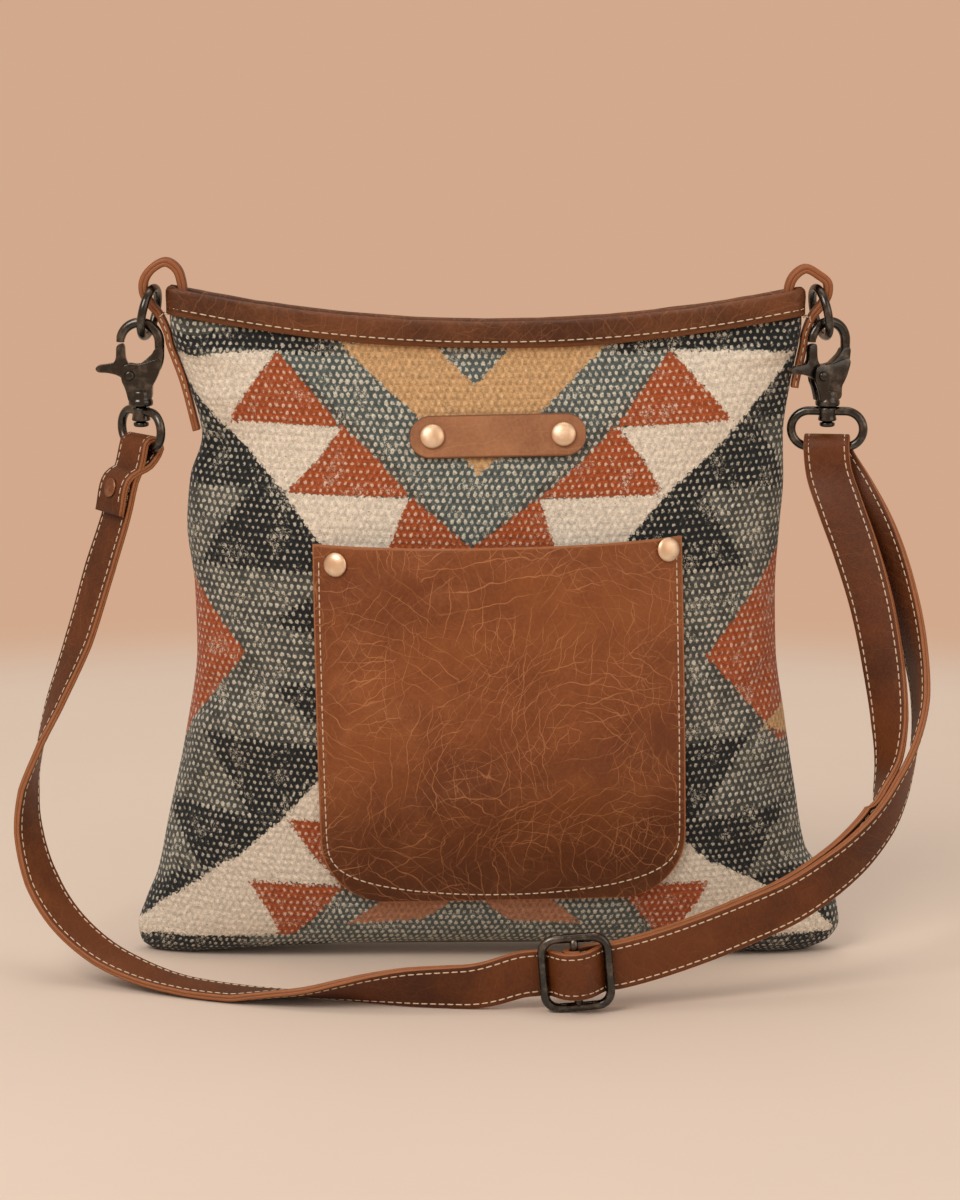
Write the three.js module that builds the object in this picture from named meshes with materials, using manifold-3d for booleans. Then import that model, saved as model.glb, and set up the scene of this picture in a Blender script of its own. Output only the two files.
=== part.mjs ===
// Crossbody bag: flat-woven cloth body with leather lips, front pocket, curved zip and an adjustable strap.
// Millimetres. X runs to the right seen from the front, the front faces -Y, Z is up and the floor is Z = 0.
import * as THREE from "three";
import { mergeVertices } from "three/addons/utils/BufferGeometryUtils.js";
import Module from "manifold-3d";

const wasm = await Module();
wasm.setup();

// Sizes that drive the whole bag
const gap = 0.3; // play between pieces that touch
const bagHeight = 284; // floor to the top corners of the cloth
const rimDip = 16.8; // the mouth sags this far below the corners
const rimMiddle = bagHeight - rimDip;
const rimRadius = 620; // radius of the sagging mouth, seen from the front
const rimCentreX = 4; // lowest point of the mouth
const clothThick = 1.4;
const liningThick = 0.8;
const liningPlay = 0.5; // between cloth and lining
const lipWall = 1.2; // leather of the lips
const lipDrop = 9; // how far the lips reach down the cloth
const pocketThick = 2;
const strapWide = 19;
const strapThick = 3;
const wireRadius = 1.85; // rod of the eyes and the buckle
const rivetCapRadius = 5;
const rivetPostRadius = 1.9;
const rivetHoleRadius = 2.2;
const ringRadius = 10.2; // middle of the ring's rod
const ringRod = 1.8;
const ringDrop = 11.9; // middle of the rings below the top corners
const ringHeight = bagHeight - ringDrop;
const hookRod = 1.9;

// Side seams of the cloth, as height and X, drawn for the full height in their last row: they bow out at the
// belly's foot and end in soft corners
const seamLeft = [
  [0, -139], [4, -144.3], [11, -145.7], [21, -142.6], [36, -136.8], [60, -131.8], [96, -124.2], [134, -119],
  [160, -119.6], [186, -122.5], [206, -121], [225, -115.8], [246, -121], [262, -126.5], [271, -128.5],
  [284, -128.5],
];
const seamRight = [
  [0, 139], [5, 149], [12, 153], [24, 151], [36, 144.5], [46, 138], [74, 133], [104, 128.4],
  [134, 124.4], [160, 123.8], [186, 125.2], [206, 126.6], [225, 126.2], [246, 128.8], [262, 132], [271, 133.2],
  [284, 133.2],
];
// Half depth of the stuffed body against relative height
const halfDepth = [
  [0, 0], [0.0015, 9], [0.007, 13], [0.02, 17.5], [0.05, 22.5], [0.1, 27.5], [0.16, 31.3], [0.25, 35.2],
  [0.36, 37.2], [0.5, 35.4], [0.64, 30], [0.76, 23], [0.86, 16], [0.92, 11.2], [0.955, 7.7], [1, 7.7],
];
// Fullness of the horizontal section: round at the belly, flat sided at the mouth
const fullness = [[0, 5], [0.08, 3.2], [0.2, 2.4], [0.5, 2.3], [0.75, 3], [0.9, 8], [0.955, 60], [1, 60]];

const seamTop = seamLeft.at(-1)[0];
const leftTop = seamLeft.at(-1)[1];
const rightTop = seamRight.at(-1)[1];

const levels = [0, 0.0015, 0.02, 0.05, 0.09, 0.15, 0.24, 0.36, 0.49, 0.62, 0.72, 0.792, 0.865, 0.92, 0.958, 1];
const columns = 20;

// Smooth curve through a table of [position, value] that never overshoots its points
function along(table, t) {
  const last = table.length - 1;
  let i = 0;
  while (i < last - 1 && t > table[i + 1][0]) i += 1;
  const [t0, a] = table[i];
  const [t1, b] = table[i + 1];
  const k = Math.min(Math.max((t - t0) / (t1 - t0), 0), 1);
  const rise = (j) => (table[j + 1][1] - table[j][1]) / (table[j + 1][0] - table[j][0]);
  const slope = (j) => {
    const before = rise(Math.max(j - 1, 0));
    const after = rise(Math.min(j, last - 1));
    return before * after <= 0 ? 0 : (2 * before * after) / (before + after);
  };
  const m0 = slope(i) * (t1 - t0);
  const m1 = slope(i + 1) * (t1 - t0);
  const k2 = k * k;
  const k3 = k2 * k;
  return a * (2 * k3 - 3 * k2 + 1) + m0 * (k3 - 2 * k2 + k) + b * (3 * k2 - 2 * k3) + m1 * (k3 - k2);
}

// Straight lines between the same kind of points
function straight(table, t) {
  let i = 0;
  while (i < table.length - 2 && t > table[i + 1][0]) i += 1;
  const [[t0, a], [t1, b]] = [table[i], table[i + 1]];
  return a + ((b - a) * (t - t0)) / (t1 - t0);
}

function toSolid(geometry) {
  const bare = geometry.clone();
  bare.deleteAttribute("normal");
  bare.deleteAttribute("uv");
  const merged = mergeVertices(bare, 1e-4);
  const solid = new wasm.Manifold(
    new wasm.Mesh({
      numProp: 3,
      vertProperties: merged.attributes.position.array,
      triVerts: new Uint32Array(merged.index.array),
    }),
  );
  return solid;
}

function fromSolid(solid) {
  const mesh = solid.getMesh();
  const count = mesh.numProp;
  const flat = new Float32Array(mesh.numVert * 3);
  for (let i = 0; i < mesh.numVert; i += 1)
    flat.set(mesh.vertProperties.subarray(i * count, i * count + 3), i * 3);
  const geometry = new THREE.BufferGeometry();
  geometry.setAttribute("position", new THREE.BufferAttribute(flat, 3));
  geometry.setIndex(new THREE.BufferAttribute(mesh.triVerts, 1));
  return geometry;
}

const joined = (...parts) => fromSolid(parts.map(toSolid).reduce((sum, part) => sum.add(part)));
const cut = (geometry, ...tools) =>
  fromSolid(tools.map(toSolid).reduce((left, tool) => left.subtract(tool), toSolid(geometry)));

// Closed surface from points and faces, turned so that it faces outwards
function closed(points, faces) {
  let volume = 0;
  for (const [a, b, c] of faces) volume += points[a].dot(points[b].clone().cross(points[c]));
  const turned = volume < 0 ? faces.map(([a, b, c]) => [a, c, b]) : faces;
  const geometry = new THREE.BufferGeometry();
  geometry.setAttribute("position", new THREE.Float32BufferAttribute(points.flatMap((p) => p.toArray()), 3));
  geometry.setIndex(turned.flat());
  return fromSolid(toSolid(geometry));
}

// Sheet between two grids of the same size: outer face, inner face and the four borders
function sheet(rows, cols, outer, inner) {
  const points = [];
  for (const face of [outer, inner])
    for (let j = 0; j <= rows; j += 1) for (let i = 0; i <= cols; i += 1) points.push(face(i, j));
  const at = (layer, i, j) => (layer * (rows + 1) + j) * (cols + 1) + i;
  const faces = [];
  const quad = (a, b, c, d) => faces.push([a, b, c], [a, c, d]);
  for (let j = 0; j < rows; j += 1)
    for (let i = 0; i < cols; i += 1) {
      quad(at(0, i, j), at(0, i + 1, j), at(0, i + 1, j + 1), at(0, i, j + 1));
      quad(at(1, i, j), at(1, i, j + 1), at(1, i + 1, j + 1), at(1, i + 1, j));
    }
  for (let j = 0; j < rows; j += 1) {
    quad(at(0, 0, j), at(0, 0, j + 1), at(1, 0, j + 1), at(1, 0, j));
    quad(at(0, cols, j), at(1, cols, j), at(1, cols, j + 1), at(0, cols, j + 1));
  }
  for (let i = 0; i < cols; i += 1) {
    quad(at(0, i, 0), at(1, i, 0), at(1, i + 1, 0), at(0, i + 1, 0));
    quad(at(0, i, rows), at(0, i + 1, rows), at(1, i + 1, rows), at(1, i, rows));
  }
  return closed(points, faces);
}

// Profile carried along stations; each station has a point and two axes for the profile's two coordinates
function sweep(stations, profile, loop = false) {
  const size = profile.length;
  const points = stations.flatMap(({ p, a, b }) =>
    profile.map(([s, t]) => p.clone().addScaledVector(a, s).addScaledVector(b, t)),
  );
  const faces = [];
  const count = stations.length;
  for (let j = 0; j < (loop ? count : count - 1); j += 1)
    for (let i = 0; i < size; i += 1) {
      const k = (i + 1) % size;
      const here = j * size;
      const next = ((j + 1) % count) * size;
      faces.push([here + i, here + k, next + k], [here + i, next + k, next + i]);
    }
  if (!loop) {
    const cap = THREE.ShapeUtils.triangulateShape(profile.map(([s, t]) => new THREE.Vector2(s, t)), []);
    const far = (count - 1) * size;
    for (const [i, j, k] of cap) faces.push([k, j, i], [far + i, far + j, far + k]);
  }
  return closed(points, faces);
}

const round = (radius, sides) =>
  Array.from({ length: sides }, (_, i) => {
    const turn = (2 * Math.PI * (i + 0.5)) / sides;
    return [radius * Math.cos(turn), radius * Math.sin(turn)];
  });
const box = (wide, deep) => [[-1, -1], [1, -1], [1, 1], [-1, 1]].map(([a, b]) => [(a * wide) / 2, (b * deep) / 2]);
const V = (x, y, z) => new THREE.Vector3(x, y, z);
const up = V(0, 0, 1);

// Stations of a path that stays in one plane with the given normal
function flatPath(points, normal, loop = false) {
  const count = points.length;
  return points.map((p, i) => {
    const before = points[loop ? (i + count - 1) % count : Math.max(i - 1, 0)];
    const after = points[loop ? (i + 1) % count : Math.min(i + 1, count - 1)];
    const heading = after.clone().sub(before).normalize();
    return { p, a: normal, b: heading.cross(normal).normalize() };
  });
}

// Point of the stuffed body: side -1 front or 1 back, u from -1 at the left seam to 1 at the right, and v from
// foot to rim
const rimHeight = (x) => rimMiddle + rimRadius - Math.sqrt(rimRadius ** 2 - (x - rimCentreX) ** 2);
const footHeight = (x) => 5.5 * Math.max(1 - (x / 124) ** 2, 0);
function bodyPoint(side, u, v, inset) {
  const left = along(seamLeft, v * seamTop) + inset;
  const right = along(seamRight, v * seamTop) - inset;
  const x = (left + right) / 2 + ((right - left) / 2) * u;
  const foot = footHeight(x) + inset;
  const depth = Math.max(along(halfDepth, v) - inset, 0);
  const y = side * depth * Math.sqrt(Math.max(1 - Math.abs(u) ** along(fullness, v), 0));
  return V(x, y, foot + v * (rimHeight(x) - foot));
}
const column = (i) => -Math.cos((Math.PI * i) / columns);

// Front of the body at a given X and Z, with the outward direction there
function frontY(x, z) {
  const foot = footHeight(x);
  const v = (z - foot) / (rimHeight(x) - foot);
  const left = along(seamLeft, v * seamTop);
  const right = along(seamRight, v * seamTop);
  const u = (2 * x - left - right) / (right - left);
  return -along(halfDepth, v) * Math.sqrt(Math.max(1 - Math.abs(u) ** along(fullness, v), 0));
}
function frontNormal(x, z) {
  const step = 2;
  const slopeX = (frontY(x + step, z) - frontY(x - step, z)) / (2 * step);
  const slopeZ = (frontY(x, z + step) - frontY(x, z - step)) / (2 * step);
  return V(slopeX, -1, slopeZ).normalize();
}
const offFront = (x, z, away) => V(x, frontY(x, z), z).addScaledVector(frontNormal(x, z), away);

// Materials
const surface = (color, roughness, metalness = 0) =>
  new THREE.MeshStandardMaterial({ color, roughness, metalness });
const kilim = surface(0x6f6a62, 0.95);
const liningCloth = surface(0xb9ab93, 0.95);
const leather = surface(0x8c4e28, 0.6);
const tanLeather = surface(0x966446, 0.6);
const lipLeather = surface(0x6e4228, 0.6);
const strapLeather = surface(0x5a321c, 0.6);
const darkMetal = surface(0x463e34, 0.4, 1);
const rivetMetal = surface(0xcda582, 0.35, 1);
const zipCloth = surface(0x3a2c22, 0.9);
const zipMetal = surface(0x8a7350, 0.4, 1);

const group = new THREE.Group();
group.name = "crossbody_bag";
function add(name, geometry, material) {
  const mesh = new THREE.Mesh(geometry, material);
  mesh.name = name;
  group.add(mesh);
  return mesh;
}

// Rivets: a rod through the leather with a dome on it
// Rod along a direction, used for the post holes
function rod(from, to, radius, sides = 10) {
  const heading = to.clone().sub(from).normalize();
  const a = heading.clone().cross(Math.abs(heading.z) > 0.9 ? V(1, 0, 0) : up).normalize();
  const b = heading.clone().cross(a);
  return sweep([{ p: from, a, b }, { p: to, a, b }], round(radius, sides));
}
// Domed cap, post and back washer: the seat is the face under the cap, the grip is the thickness held
function rivet(seat, outward, grip) {
  const rise = 2.1;
  const washer = 1;
  const profile = [
    [0, -grip - gap - washer], [4, -grip - gap - washer], [4, -grip - gap], [rivetPostRadius, -grip - gap],
    [rivetPostRadius, gap], [rivetCapRadius, gap], [rivetCapRadius, gap + 0.6], [3.9, gap + 1.4],
    [2.2, gap + rise - 0.15],
    [0, gap + rise],
  ];
  const turned = new THREE.LatheGeometry(profile.map(([r, h]) => new THREE.Vector2(r, h)), 14);
  turned.applyQuaternion(new THREE.Quaternion().setFromUnitVectors(V(0, 1, 0), outward));
  turned.translate(seat.x, seat.y, seat.z);
  return fromSolid(toSolid(turned));
}
const rivetHole = (seat, outward, grip) =>
  rod(seat.clone().addScaledVector(outward, -grip - 6), seat.clone().addScaledVector(outward, 4), rivetHoleRadius);

// Pocket and tab on the front of the bag
const pocketCentreX = 8.6;
const pocketHalf = 75.6;
const pocketFoot = 29.5;
const pocketTop = 180.6;
const pocketCorner = 27;
const pocketTurn = 0.021; // the pocket sits a little askew
const pocketMiddle = (pocketFoot + pocketTop) / 2;
const pocketBulge = 5.4; // leather standing off the cloth over most of the pocket
const pocketYawn = 5; // further stand off at the open top
const pocketSag = 3.2;
function pocketSpot(s, t) {
  const height = t * (pocketTop - pocketFoot);
  const below = Math.max(pocketCorner - height, 0);
  const shrink = pocketCorner - Math.sqrt(pocketCorner ** 2 - below ** 2);
  const across = s * (pocketHalf - shrink);
  const z = pocketFoot + height - pocketSag * t ** 4 * (1 - s * s);
  return [pocketCentreX + across - pocketTurn * (z - pocketMiddle), z + pocketTurn * across];
}
function pocketPoint(s, t, away) {
  const [x, z] = pocketSpot(s, t);
  const top = Math.min(Math.max((t - 0.6) / 0.4, 0), 1);
  const yawn = pocketYawn * top * top * (3 - 2 * top);
  const open = (pocketBulge * Math.min(t / 0.3, 1) ** 1.5 + yawn) * (1 - Math.abs(s) ** 2.6);
  return offFront(x, z, gap + 0.15 + open + away);
}
const pocketCols = [-1, -0.94, -0.84, -0.68, -0.48, -0.24, 0, 0.24, 0.48, 0.68, 0.84, 0.94, 1];
const pocketRows = [0, 0.02, 0.06, 0.12, 0.2, 0.32, 0.48, 0.64, 0.8, 0.92, 1];
const tabHalf = 36.2;
const tabTall = 17;
const tabCentre = [7.4, 222.6];
const tabTurn = 0.02;
const tabThick = 2;
const tabCols = 10;

const pocketShape = sheet(
  pocketRows.length - 1,
  pocketCols.length - 1,
  (i, j) => pocketPoint(pocketCols[i], pocketRows[j], pocketThick),
  (i, j) => pocketPoint(pocketCols[i], pocketRows[j], 0),
);
const tabShape = sheet(
  4,
  tabCols,
  (i, j) => tabPoint(i, j, tabThick),
  (i, j) => tabPoint(i, j, 0),
);
function tabPoint(i, j, away) {
  const s = (2 * i) / tabCols - 1;
  const edge = Math.sqrt(1 - Math.max(Math.abs(s) * 1.02 - 0.84, 0) ** 2 / 0.18 ** 2 / 1.35);
  const rise = (j / 4 - 0.5) * tabTall * edge;
  const x = tabCentre[0] + s * tabHalf;
  return offFront(x, tabCentre[1] + rise + tabTurn * s * tabHalf, gap + 0.15 + away);
}

// Rivets that go through the leather, the cloth and the lining
const wall = clothThick + liningPlay + liningThick;
const capPlay = 0.35;
function pocketSeat(x, z) {
  const t = (z + pocketSag / 2 - pocketFoot) / (pocketTop - pocketFoot);
  const s = (x - pocketCentreX + pocketTurn * (z - pocketMiddle)) / pocketHalf;
  const seat = pocketPoint(s, t, pocketThick);
  const across = pocketPoint(s + 0.03, t, pocketThick).sub(pocketPoint(s - 0.03, t, pocketThick));
  const rise = pocketPoint(s, t + 0.015, pocketThick).sub(pocketPoint(s, t - 0.015, pocketThick));
  return [seat, across.cross(rise).normalize()];
}
const fixings = [
  ["pocket_rivet_left", -58.5, 171.3, false],
  ["pocket_rivet_right", 76.4, 174.2, false],
  ["tab_rivet_left", -19.6, 222.2, true],
  ["tab_rivet_right", 34.4, 223.1, true],
].map(([name, x, z, onTab]) => {
  const [seat, outward] = onTab
    ? [offFront(x, z, gap + 0.15 + tabThick), frontNormal(x, z)]
    : pocketSeat(x, z);
  const grip = seat.distanceTo(V(seat.x, frontY(seat.x, seat.z), seat.z)) + wall + 1.4;
  return { name, seat: seat.addScaledVector(outward, capPlay), outward, grip: grip + capPlay };
});
const holes = fixings.map(({ seat, outward, grip }) => rivetHole(seat, outward, grip));

add("pocket", cut(pocketShape, holes[0], holes[1]), leather);
add("tab", cut(tabShape, holes[2], holes[3]), tanLeather);
fixings.forEach(({ name, seat, outward, grip }) => add(name, rivet(seat, outward, grip), rivetMetal));

// Cloth body and its lining
function panel(side) {
  const seamGap = V(0, (side * gap) / 2, 0);
  return sheet(
    levels.length - 1,
    columns,
    (i, j) => bodyPoint(side, column(i), levels[j], 0).add(seamGap),
    (i, j) => bodyPoint(side, column(i), levels[j], clothThick).add(seamGap),
  );
}
add("front_panel", cut(panel(-1), ...holes), kilim);
add("back_panel", panel(1), kilim);

// The lining is one inner bag: front and back share the bottom fold and the side seams
const liningLevels = [...levels.slice(0, -2), 0.94];
function liningShape() {
  const points = [];
  const faces = [];
  const rows = liningLevels.length;
  const cols = columns + 1;
  const insets = [clothThick + liningPlay, clothThick + liningPlay + liningThick];
  for (const inset of insets)
    for (const side of [-1, 1])
      for (let j = 0; j < rows; j += 1)
        for (let i = 0; i < cols; i += 1) points.push(bodyPoint(side, column(i), liningLevels[j], inset));
  const at = (layer, side, i, j) => ((layer * 2 + side) * rows + j) * cols + i;
  const quad = (flip, a, b, c, d) => (flip ? faces.push([a, c, b], [a, d, c]) : faces.push([a, b, c], [a, c, d]));
  for (const layer of [0, 1])
    for (const side of [0, 1])
      for (let j = 0; j < rows - 1; j += 1)
        for (let i = 0; i < cols - 1; i += 1)
          quad((layer + side) % 2 === 1, at(layer, side, i, j), at(layer, side, i + 1, j),
            at(layer, side, i + 1, j + 1), at(layer, side, i, j + 1));
  for (const side of [0, 1])
    for (let i = 0; i < cols - 1; i += 1)
      quad(side === 1, at(0, side, i, rows - 1), at(0, side, i + 1, rows - 1),
        at(1, side, i + 1, rows - 1), at(1, side, i, rows - 1));
  return closed(points, faces);
}
add("lining", cut(liningShape(), ...holes), liningCloth);

// Leather lips folded over the rim
const lipTop = 1.3;
const lipReach = 0.963; // share of the rim's half width that the lips cover
const lipProfile = [
  [gap + lipWall, -lipDrop], [gap + lipWall, lipTop - 0.3], [gap + lipWall - 0.6, gap + lipTop],
  [0.6 - clothThick - 2 * gap - lipWall, gap + lipTop], [-clothThick - 2 * gap - lipWall, lipTop - 0.3],
  [-clothThick - 2 * gap - lipWall, -lipDrop], [-clothThick - 2 * gap, -lipDrop], [-clothThick - 2 * gap, gap],
  [gap, gap], [gap, -lipDrop],
];
function lip(side) {
  const stops = [...Array(columns + 1).keys()].map(column).filter((u) => Math.abs(u) < lipReach - 0.01);
  const onRim = (u) => {
    const i = Math.abs(u) < 0.96 ? u : Math.sign(u);
    if (i === u) return bodyPoint(side, u, 1, 0);
    const near = bodyPoint(side, Math.sign(u) * -column(2), 1, 0);
    const far = bodyPoint(side, Math.sign(u) * -column(1), 1, 0);
    return near.lerp(far, (lipReach + column(2)) / (column(2) - column(1)));
  };
  const path = [-lipReach, ...stops, lipReach].map(onRim);
  const stations = path.map((p, i) => {
    const ahead = path[Math.min(i + 1, path.length - 1)];
    const heading = ahead.clone().sub(path[Math.max(i - 1, 0)]).setZ(0).normalize();
    return { p: p.add(V(0, (side * gap) / 2, 0)), a: V(heading.y, -heading.x, 0).multiplyScalar(-side), b: up };
  });
  return sweep(stations, lipProfile);
}
add("front_lip", lip(-1), lipLeather);
add("back_lip", lip(1), lipLeather);

// Zip: two tapes and coils on arcs that share the rim's centre
const zipSink = 4; // depth of the coils below the rim
const coilInner = 2.8;
const coilOuter = 4;
const zipInset = 18.85; // from the side seams to the ends of the coils
const zipHalf = (rightTop - leftTop) / 2 - zipInset;
const slideHalf = 6;
const sliderRest = 10; // the slider is left this far from the left end
const sliderAt = rimCentreX - zipHalf + sliderRest;
function arcStations(fromX, toX, count, y, drop) {
  return Array.from({ length: count + 1 }, (_, i) => {
    const x = fromX + ((toX - fromX) * i) / count;
    const turn = Math.asin((x - rimCentreX) / rimRadius);
    const radius = rimRadius + drop;
    const p = V(rimCentreX + radius * Math.sin(turn), y, rimMiddle + rimRadius - radius * Math.cos(turn));
    return { p, a: V(0, 1, 0), b: V(-Math.sin(turn), 0, Math.cos(turn)) };
  });
}
for (const [side, word] of [[-1, "front"], [1, "back"]]) {
  const coilMiddle = (side * (coilInner + coilOuter)) / 2;
  const tapeMiddle = side * 3.95;
  const tape = arcStations(rimCentreX - zipHalf - 4, rimCentreX + zipHalf + 4, 10, tapeMiddle, zipSink + 0.9);
  const coil = arcStations(rimCentreX - zipHalf, rimCentreX + zipHalf, 10, coilMiddle, zipSink - 0.35);
  add(`zip_tape_${word}`, sweep(tape, box(1.1, 0.6)), zipCloth);
  add(`zip_coil_${word}`, sweep(coil, box(coilOuter - coilInner, 1.3)), zipMetal);
}
for (const [side, word] of [[-1, "left"], [1, "right"]]) {
  const near = rimCentreX + side * (zipHalf + 0.6);
  const stop = arcStations(near, near + side * 2.2, 1, 0, zipSink - 0.35);
  add(`zip_stop_${word}`, sweep(stop, box(2 * coilOuter, 1.3)), zipMetal);
}
// Slider: plates over and under the coils, a post between them and a bridge for the pull
const block = (x0, x1, halfY, z0, z1) => {
  const shape = new THREE.BoxGeometry(x1 - x0, 2 * halfY, z1 - z0);
  return shape.translate((x0 + x1) / 2, 0, (z0 + z1) / 2);
};
const plateFoot = -zipSink + 1.3;
const plateTop = plateFoot + 1.3;
const sliderShape = joined(
  block(-slideHalf, slideHalf, 4.3, plateFoot, plateTop),
  block(-slideHalf + 1, slideHalf - 1, 2.4, -zipSink - 2.5, plateFoot + 0.1),
  block(-slideHalf, slideHalf, 4.2, -zipSink - 2.6, -zipSink - 1.5),
  block(-4.2, -3, 0.8, plateTop - 0.1, plateTop + 2.3),
  block(3, 4.2, 0.8, plateTop - 0.1, plateTop + 2.3),
  block(-4.2, 4.2, 0.8, plateTop + 1.5, plateTop + 2.3),
);
const pullShape = cut(block(-0.45, 19, 2.2, -0.45, 0.45), block(0.45, 5, 1.1, -1, 1));
const pullPivot = plateTop + 0.75;
const sliderTurn = Math.asin((sliderAt - rimCentreX) / rimRadius);
const sliderSeat = V(
  rimCentreX + rimRadius * Math.sin(sliderTurn), 0, rimMiddle + rimRadius - rimRadius * Math.cos(sliderTurn),
);
for (const [name, shape, lift] of [["zip_slider", sliderShape, 0], ["zip_pull", pullShape, pullPivot]]) {
  const mesh = add(name, shape, zipMetal);
  mesh.rotation.y = -sliderTurn;
  mesh.position.copy(sliderSeat).addScaledVector(V(-Math.sin(sliderTurn), 0, Math.cos(sliderTurn)), lift);
}

// Leather side loops and the rings in them
const loopWide = 7.4;
const loopThick = 3;
const sides = [
  {
    word: "left", out: -1, seam: seamLeft, corner: [leftTop, bagHeight - 2.3], arch: 11.6, foot: bagHeight - 61,
    ring: V(leftTop - 8.5, 0, ringHeight), lean: V(1, -0.21, -0.21),
    clasp: V(leftTop - 12.4, -2.1, ringHeight), hookYaw: 0, eyeYaw: 52, hookTop: -4.1,
  },
  {
    word: "right", out: 1, seam: seamRight, corner: [rightTop, bagHeight - 3.1], arch: 9.6, foot: bagHeight - 43,
    ring: V(rightTop + 8, 0, ringHeight), lean: V(1, 0.21, 0.21),
    clasp: V(rightTop + 11.2, -2.1, ringHeight), hookYaw: -26, eyeYaw: 8, hookTop: -3.8,
  },
];
function loopPath({ out, seam, corner: [x, z], arch, foot }) {
  const chord = levels.map((v) => [v * z, along(seam, v * seamTop)]);
  const side = (height) => straight(chord, height) + out * (loopThick / 2 + 2.4 * gap);
  const turn = [
    [-5.8, -14], [-5.8, -6], [-5.6, 2], [-3.4, arch - 3], [1.4, arch], [7.4, arch - 3], [10.8, 3.6],
    [10.8, -1.6], [8.2, -6], [4.4, -10.6],
  ].map(([dx, dz]) => V(x + out * dx, 0, z + dz));
  const down = [];
  for (const height of [z - 18, ...levels.map((v) => v * z).reverse(), foot])
    if (height <= z - 18 && height >= foot) down.push(V(side(height), 0, height));
  const curve = new THREE.CatmullRomCurve3([...turn, ...down], false, "centripetal");
  return curve.getSpacedPoints(34);
}
for (const item of sides) {
  const { word, ring, lean } = item;
  add(`${word}_loop`, sweep(flatPath(loopPath(item), V(0, 1, 0)), box(loopWide, loopThick)), leather);
  const torus = new THREE.TorusGeometry(ringRadius, ringRod, 8, 24);
  torus.applyQuaternion(new THREE.Quaternion().setFromUnitVectors(V(0, 0, 1), lean.clone().normalize()));
  const mesh = add(`${word}_ring`, fromSolid(toSolid(torus)), darkMetal);
  mesh.position.copy(ring);
}

// Trigger clasps: hook, sprung gate, pin and swivel eye, with Z counted from the middle of the ring
const eyeTop = -40.9;
const eyeHalfHigh = 7.5;
const eyeHalfWide = 14.95;
const hookHalf = 8.1;
const pinSpot = [-4.2, -25.9];
const gateThick = 2.4;
function hookShape(top) {
  const path = [V(4.2, 0, -26.1), V(6.6, 0, -23.1), V(hookHalf, 0, -19.6), V(hookHalf, 0, top - hookHalf)];
  for (let i = 1; i <= 8; i += 1) {
    const turn = (Math.PI * i) / 8;
    path.push(V(hookHalf * Math.cos(turn), 0, top - hookHalf + hookHalf * Math.sin(turn)));
  }
  const hook = sweep(flatPath(path, V(0, 1, 0)), round(hookRod, 8));
  const outline = [
    [6.4, -30.7], [6.4, -25.1], [4.6, -22.9], [-5.6, -22.9], [-7.2, -24.9], [-7.2, -28.7], [-4.4, -30.7],
  ];
  const base = sweep([-3.5, 3.5].map((y) => ({ p: V(0, y, 0), a: V(1, 0, 0), b: up })), outline);
  const stem = new THREE.LatheGeometry(
    [
      [0, -47.5], [2.6, -47.5], [3.2, -46.9], [3.2, -45.6], [1.7, -45.6], [1.7, -35.1], [3.8, -35.1],
      [4.4, -34.5], [4.4, -31.5], [3.8, -30.3], [0, -30.3],
    ].map(([r, h]) => new THREE.Vector2(r, h)),
    14,
  ).rotateX(Math.PI / 2);
  const slot = new THREE.BoxGeometry(8, gateThick + 0.8, 12).translate(-5, 0, -23.1);
  const bore = rod(V(pinSpot[0], -6, pinSpot[1]), V(pinSpot[0], 6, pinSpot[1]), 1.35);
  return cut(joined(hook, base, stem), slot, bore);
}
const gateOutline = (top) => [
  [-3.2, -28.3], [-1.9, -26.7], [-2.4, -23.9], [-5.4, -21.9], [-6.5, -19.7], [-6.8, top - hookHalf - 1.4],
  [-9.3, top - hookHalf - 1.4], [-9.5, -20.3], [-10.6, -21.7], [-17.6, -21.9], [-18.6, -23.3], [-17.6, -24.7],
  [-9.6, -25.5], [-5.6, -28.3],
];
function gateShape(top) {
  const half = gateThick / 2;
  const stations = [-half, half].map((y) => ({ p: V(0, y, 0), a: V(1, 0, 0), b: up }));
  const plate = sweep(stations, gateOutline(top));
  return cut(plate, rod(V(pinSpot[0], -6, pinSpot[1]), V(pinSpot[0], 6, pinSpot[1]), 1.45));
}
const pinShape = () => {
  const profile = [
    [0, -4.4], [1.9, -4.4], [1.9, -3.8], [1.05, -3.8], [1.05, 3.8], [1.9, 3.8], [1.9, 4.4], [0, 4.4],
  ];
  const turned = new THREE.LatheGeometry(profile.map(([r, h]) => new THREE.Vector2(r, h)), 10);
  return fromSolid(toSolid(turned)).translate(pinSpot[0], 0, pinSpot[1]);
};
function eyeShape() {
  const points = [];
  const straight = eyeHalfWide - eyeHalfHigh;
  for (let i = 0; i <= 8; i += 1) {
    const turn = Math.PI / 2 - (Math.PI * i) / 8;
    const out = straight + eyeHalfHigh * Math.cos(turn);
    points.push(V(out, 0, eyeTop - eyeHalfHigh + eyeHalfHigh * Math.sin(turn)));
  }
  const mirrored = [...points].reverse().map((p) => V(-p.x, 0, p.z));
  const ringSolid = sweep(flatPath([...points, ...mirrored], V(0, 1, 0), true), round(wireRadius, 8), true);
  const boss = rod(V(0, 0, -45.1), V(0, 0, -35.5), 3.9, 14);
  return cut(joined(ringSolid, boss), rod(V(0, 0, -52.1), V(0, 0, -32.1), 2.1, 14));
}
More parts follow.
